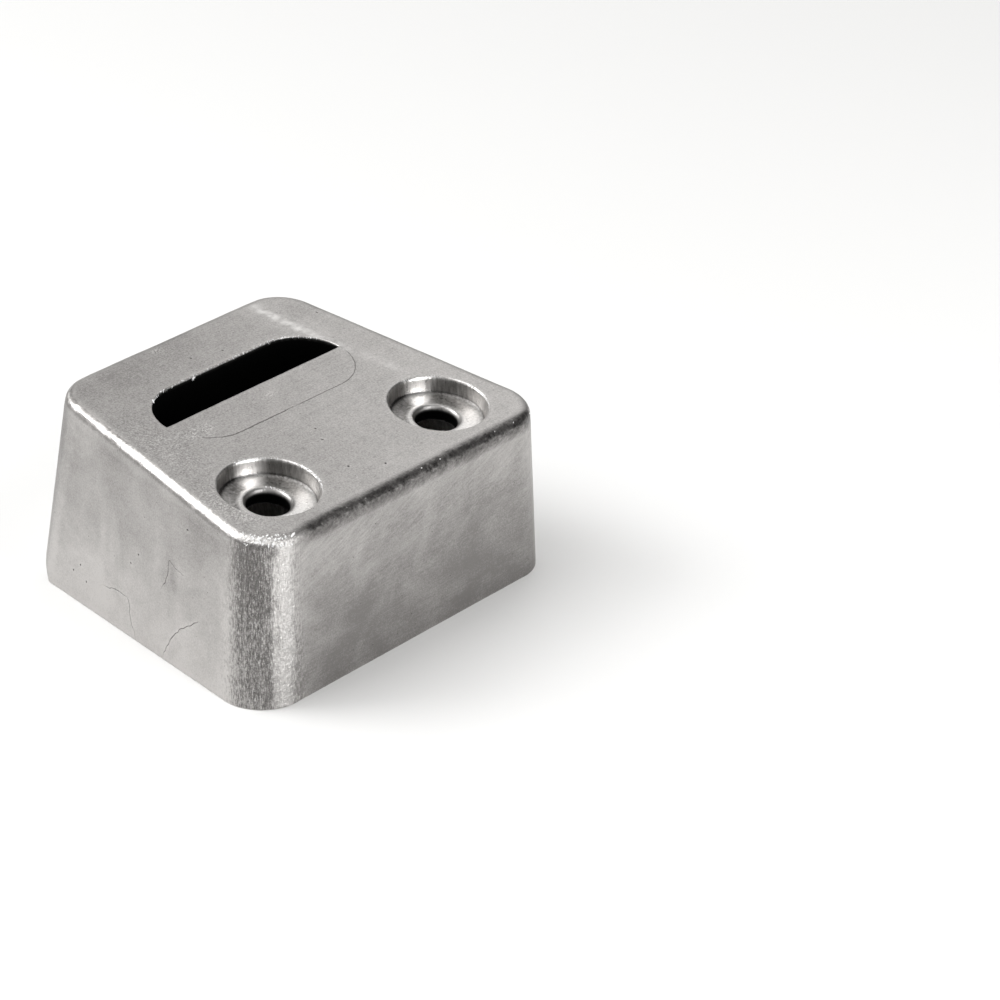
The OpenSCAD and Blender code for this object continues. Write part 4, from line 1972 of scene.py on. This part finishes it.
@dataclass
class EdgeBurrs:
    """Torn burrs and droplets along the casting's edges, strung along their routes by Geometry Nodes."""

    form: BlockForm

    def arc(
        self, middle: Pair, start: float, end: float, radius: float, w: float, count: int = 30
    ) -> Array:
        """Runs an arc over the front face.

        Args:
            middle: its middle, across and up the slope.
            start: first angle in degrees, from the part's +X.
            end: last angle in degrees.
            radius: its radius in mm.
            w: its height over the front face in mm.
            count: how many points it has.

        Returns:
            Points of the arc in the part's frame.
        """
        turn = np.radians(np.linspace(start, end, count))
        u, v = middle[0] + radius * np.cos(turn), middle[1] + radius * np.sin(turn)
        return self.form.to_part(np.stack([u, v, np.full(count, w)], axis=1))

    def round_hole(self, side: int, start: float, end: float, radius: float, w: float) -> Array:
        """Runs an arc round the screw hole on one side, -1 or 1."""
        middle = (side * self.form.hole_pitch / 2, -self.form.hole_back)
        return self.arc(middle, start, end, radius, w, count=40)

    def round_slot(self, side: int, start: float, end: float, w: float) -> Array:
        """Runs an arc round one rounded end of the slot."""
        f = self.form
        return self.arc((side * (f.slot_half_l - f.slot_r), f.slot_fwd), start, end, f.slot_r, w)

    def slope_line(self, route: Sequence[Pair], w: float) -> Array:
        """Runs a smooth line over the sloping face's own axes."""
        line = smooth_line(np.array(route, float), 0.1)
        return self.form.to_part(np.column_stack([line, np.full(len(line), w)]))

    def lines(self) -> list[BurrLine]:
        """Lists the runs of burrs: route, spacing, size, stray and seed.

        Returns:
            The runs, in the order in which they are made.
        """
        hole, slot, line = self.round_hole, self.round_slot, self.slope_line
        f, corner = self.form, self.form.corner_at
        rim_r = f.bore_r - 0.03
        back, straight, lip = f.slot_fwd + f.slot_r, f.slot_half_l - f.slot_r, f.slot_fwd + f.shelf_step
        foot = -26.75
        table = [
            # rims of the two counterbores
            (hole(-1, 36, 86, rim_r, -0.07), 0.4, 0.13, 0.07, 1),
            (hole(-1, 316, 372, rim_r, -0.07), 0.36, 0.14, 0.08, 2),
            (hole(1, 40, 88, rim_r, -0.07), 0.45, 0.11, 0.07, 3),
            (hole(1, 312, 372, rim_r, -0.07), 0.45, 0.11, 0.07, 4),
            # the slot's back edge
            (line([(-straight, back), (0, back), (straight, back)], -0.08), 0.75, 0.13, 0.08, 5),
            # top of the scuffed corner, and the wide end's edge
            (self.arc(corner, 196, 266, 6.0, -0.3), 0.36, 0.26, 0.3, 6),
            (self.arc(corner, 202, 262, 6.5, -0.95), 0.5, 0.24, 0.32, 7),
            (self.arc(corner, 206, 256, 5.5, -0.12), 0.55, 0.2, 0.2, 15),
            (line([(-17, foot), (0, foot), (27, foot)], -0.32), 3.7, 0.14, 0.1, 14),
            # mouth of the near through hole
            (hole(-1, 30, 48, 3.85, -2.66), 0.55, 0.2, 0.06, 8),
            (hole(-1, 4, 24, 3.8, -2.72), 0.16, 0.14, 0.03, 9),
            # the slot's rounded ends, a spike on its back edge, and the rear shelf's free edge
            (slot(-1, 92, 128, -0.1), 0.42, 0.17, 0.14, 10),
            (slot(1, 30, 90, -0.08), 0.4, 0.14, 0.08, 11),
            (line([(-5.5, back - 0.05), (-5.5, back - 0.25)], -0.5), 0.08, 0.2, 0.16, 12),
            (line([(-16.8, lip), (0, lip), (17.0, lip)], -f.plate), 0.42, 0.26, 0.22, 13),
        ]
        return [BurrLine(*row) for row in table]

    def build(self) -> Object:
        """Makes all runs of burrs as one plain mesh.

        Returns:
            The burrs.
        """
        tree = self._tree()
        finish = TornMetal().material()
        parts = []
        for line in self.lines():
            mesh = bpy.data.meshes.new("burr_route")
            mesh.from_pydata((line.route * MM).tolist(), [(k, k + 1) for k in range(len(line.route) - 1)], [])
            strand = place(mesh)
            values = {"Spacing": line.spacing * MM, "Bead": line.size * MM, "Stray": line.stray * MM}
            values |= {"Seed": line.seed, "Finish": finish}
            modifier = strand.modifiers.new("burrs", "NODES")
            modifier.node_group = tree
            for item in tree.interface.items_tree:
                if item.in_out == "INPUT" and item.name in values:
                    modifier[item.identifier] = values[item.name]
            bpy.context.view_layer.update()
            graph = bpy.context.evaluated_depsgraph_get()
            parts.append(bpy.data.meshes.new_from_object(strand.evaluated_get(graph)))
            strand.modifiers.clear()
            bpy.data.objects.remove(strand)
        return place(join_meshes("edge_burrs", parts))

    @staticmethod
    def _tree() -> NodeTree:
        """Builds the tree that strings lumpy beads along a route.

        Returns:
            The tree, with inputs for its sizes, its seed and its finish.
        """
        tree = bpy.data.node_groups.new("burr_beads", "GeometryNodeTree")
        sockets = {"Spacing": "Float", "Bead": "Float", "Stray": "Float", "Seed": "Int", "Finish": "Material"}
        for name, kind in {"Route": "Geometry", **sockets}.items():
            tree.interface.new_socket(name, in_out="INPUT", socket_type=f"NodeSocket{kind}")
        tree.interface.new_socket("Beads", in_out="OUTPUT", socket_type="NodeSocketGeometry")
        add = partial(add_node, tree)
        given = add("NodeGroupInput").outputs

        def random(low: Spot, high: Spot) -> Node:
            """Adds a random vector for each bead."""
            span = {0: low, 1: high, "Seed": given["Seed"]}
            return add("FunctionNodeRandomValue", {"data_type": "FLOAT_VECTOR"}, span)

        def scaled(vector: Node, size: NodeSocket) -> Node:
            """Adds a vector times a size."""
            return add("ShaderNodeVectorMath", {"operation": "SCALE"}, {0: vector, "Scale": size})

        curve = add("GeometryNodeMeshToCurve", None, {"Mesh": given["Route"]})
        steps = {"Curve": curve, "Length": given["Spacing"]}
        spots = add("GeometryNodeCurveToPoints", {"mode": "LENGTH"}, steps)
        stray = scaled(random((-1, -1, -1), (1, 1, 1)), given["Stray"])
        strewn = add("GeometryNodeSetPosition", None, {"Geometry": spots, "Offset": stray})
        ball = add("GeometryNodeMeshIcoSphere", None, {"Radius": 1.0, "Subdivisions": 2})
        lump = add("ShaderNodeTexNoise", None, {"Vector": add("GeometryNodeInputPosition"), "Scale": 1.3})
        centred = {0: lump.outputs["Color"], 1: (0.5, 0.5, 0.5)}
        centred = add("ShaderNodeVectorMath", {"operation": "SUBTRACT"}, centred)
        torn = add("GeometryNodeSetPosition", None, {"Geometry": ball, "Offset": centred})
        size = scaled(random((0.35, 0.25, 0.15), (2.0, 1.2, 0.7)), given["Bead"])
        turn = random((0, 0, 0), (6.3, 6.3, 6.3))
        each = {"Points": strewn, "Instance": torn, "Rotation": turn, "Scale": size}
        beads = add("GeometryNodeInstanceOnPoints", None, each)
        real = add("GeometryNodeRealizeInstances", None, {"Geometry": beads})
        dressed = add("GeometryNodeSetMaterial", None, {"Geometry": real, "Material": given["Finish"]})
        add("NodeGroupOutput", None, {"Beads": dressed})
        return tree


def join_meshes(name: str, parts: Sequence[Mesh]) -> Mesh:
    """Makes one mesh of several that share a finish, and drops the several.

    Args:
        name: the new mesh's name.
        parts: the several.

    Returns:
        The new mesh.
    """
    verts, faces, base = [], [], 0
    for part in parts:
        verts += [tuple(v.co) for v in part.vertices]
        faces += [tuple(base + i for i in f.vertices) for f in part.polygons]
        base = len(verts)
    mesh = bpy.data.meshes.new(name)
    mesh.from_pydata(verts, [], faces)
    mesh.materials.append(parts[0].materials[0])
    for part in parts:
        bpy.data.meshes.remove(part)
    return mesh


@dataclass(frozen=True)
class Studio:
    """A pale floor, a soft box high on the far left, a weak fill, and the photograph's camera.

    Attributes:
        eye: the camera's place in mm.
        right: the picture's rightward direction.
        down: the picture's downward direction.
        forward: the direction of view.
        focal_px: focal length in pixels of the 1000-pixel picture.
        centre_px: the picture's principal point in pixels.
        picture_px: width and height of the picture in pixels.
        sensor: width of the camera's sensor in mm.
        clip: nearest and furthest distance that it sees, in metres.
        reach: half the floor's width in metres.
        drop: how far the floor lies under the rim, in metres.
        aim: height over the floor that the lamps point at, in metres.
    """

    eye: Spot = (-340.39, -337.34, 271.79)
    right: Spot = (0.6971, -0.71685, -0.01358)
    down: Spot = (-0.34949, -0.3232, -0.87943)
    forward: Spot = (0.62603, 0.6178, -0.47583)
    focal_px: float = 3602.3
    centre_px: Pair = (285.33, 502.55)
    picture_px: float = 1000.0
    sensor: float = 36.0
    clip: Pair = (0.01, 20.0)
    reach: float = 4.0
    drop: float = 0.00004
    aim: float = 0.015

    def camera(self) -> None:
        """Sets up the photograph's camera."""
        data = bpy.data.cameras.new("camera")
        data.sensor_width = self.sensor
        data.lens = self.focal_px / self.picture_px * self.sensor
        data.shift_x = (self.picture_px / 2 - self.centre_px[0]) / self.picture_px
        data.shift_y = (self.centre_px[1] - self.picture_px / 2) / self.picture_px
        data.clip_start, data.clip_end = self.clip
        camera = place(data)
        axes = Matrix((self.right, [-d for d in self.down], [-f for f in self.forward])).transposed()
        camera.matrix_world = Matrix.Translation(Vector(self.eye) * MM) @ axes.to_4x4()
        bpy.context.scene.camera = camera

    def floor(self) -> Object:
        """Lays the floor just under the rim.

        Returns:
            The floor.
        """
        mesh = bpy.data.meshes.new("studio_floor")
        around = ((-1, -1), (1, -1), (1, 1), (-1, 1))
        corners = [(x * self.reach, y * self.reach, -self.drop) for x, y in around]
        mesh.from_pydata(corners, [], [(0, 1, 2, 3)])
        mesh.materials.append(PaleSweep().material())
        return place(mesh)

    def lamp(self, name: str, way: Spot, reach: float, size: Pair, power: float) -> None:
        """Hangs a soft box.

        Args:
            name: the lamp's name.
            way: direction from the casting to the lamp.
            reach: its distance in metres.
            size: its width and height in metres.
            power: its power in watts.
        """
        data = bpy.data.lights.new(name, "AREA")
        data.shape = "RECTANGLE"
        data.size, data.size_y = size
        data.energy = power
        spot = Vector(way).normalized() * reach
        turn = spot.to_track_quat("Z", "Y").to_matrix().to_4x4()
        place(data).matrix_world = Matrix.Translation(spot + Vector((0, 0, self.aim))) @ turn

    def sky(self) -> None:
        """Fills the room with a soft glow, brighter on the far left than on the near right."""
        world = bpy.data.worlds.new("studio_glow")
        bpy.context.scene.world = world
        world.use_nodes = True
        world.node_tree.nodes.clear()
        add = partial(add_node, world.node_tree)
        way = {0: add("ShaderNodeTexCoord").outputs["Generated"], 1: (-0.35, 0.72, 0.6)}
        dot = add("ShaderNodeVectorMath", {"operation": "DOT_PRODUCT"}, way).outputs["Value"]
        span = {"Value": dot, "From Min": -0.35, "From Max": 0.9, "To Min": 0.08, "To Max": 0.75}
        strength = add("ShaderNodeMapRange", {"interpolation_type": "SMOOTHSTEP"}, span)
        glow = add("ShaderNodeBackground", None, {"Color": (1.0, 0.995, 0.985, 1), "Strength": strength})
        add("ShaderNodeOutputWorld", None, {0: glow})

    def build(self) -> None:
        """Sets up the whole studio."""
        self.camera()
        self.floor()
        self.lamp("key_box", (-0.475, 0.617, 0.627), 0.62, (0.34, 0.34), 2.0)
        self.lamp("fill_box", (0.8, 0.35, 0.75), 1.1, (0.7, 0.7), 1.4)
        self.lamp("top_box", (-0.45, 0.3, 1.0), 1.25, (0.8, 0.8), 5.0)
        self.lamp("low_box", (0.0, -0.98, 0.14), 0.42, (0.18, 0.1), 0.5)
        self.lamp("tall_box", (0.05, -0.86, 0.5), 0.5, (0.2, 0.44), 1.05)
        self.sky()
        bpy.context.scene.view_settings.view_transform = "Standard"


def main() -> None:
    """Builds the anode and the studio."""
    logging.basicConfig(level=logging.INFO, format="%(name)s: %(message)s")
    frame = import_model()
    form = BlockForm.from_record(frame["record"])
    Studio().build()
    casting = Casting(form).build(frame["nodes"]["anode_block"])
    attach(casting, "root")
    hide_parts("anode_block")
    burrs = EdgeBurrs(form).build()
    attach(burrs, "root")
    LOG.info("burrs: %d faces", len(burrs.data.polygons))


if __name__ == "__main__":
    main()
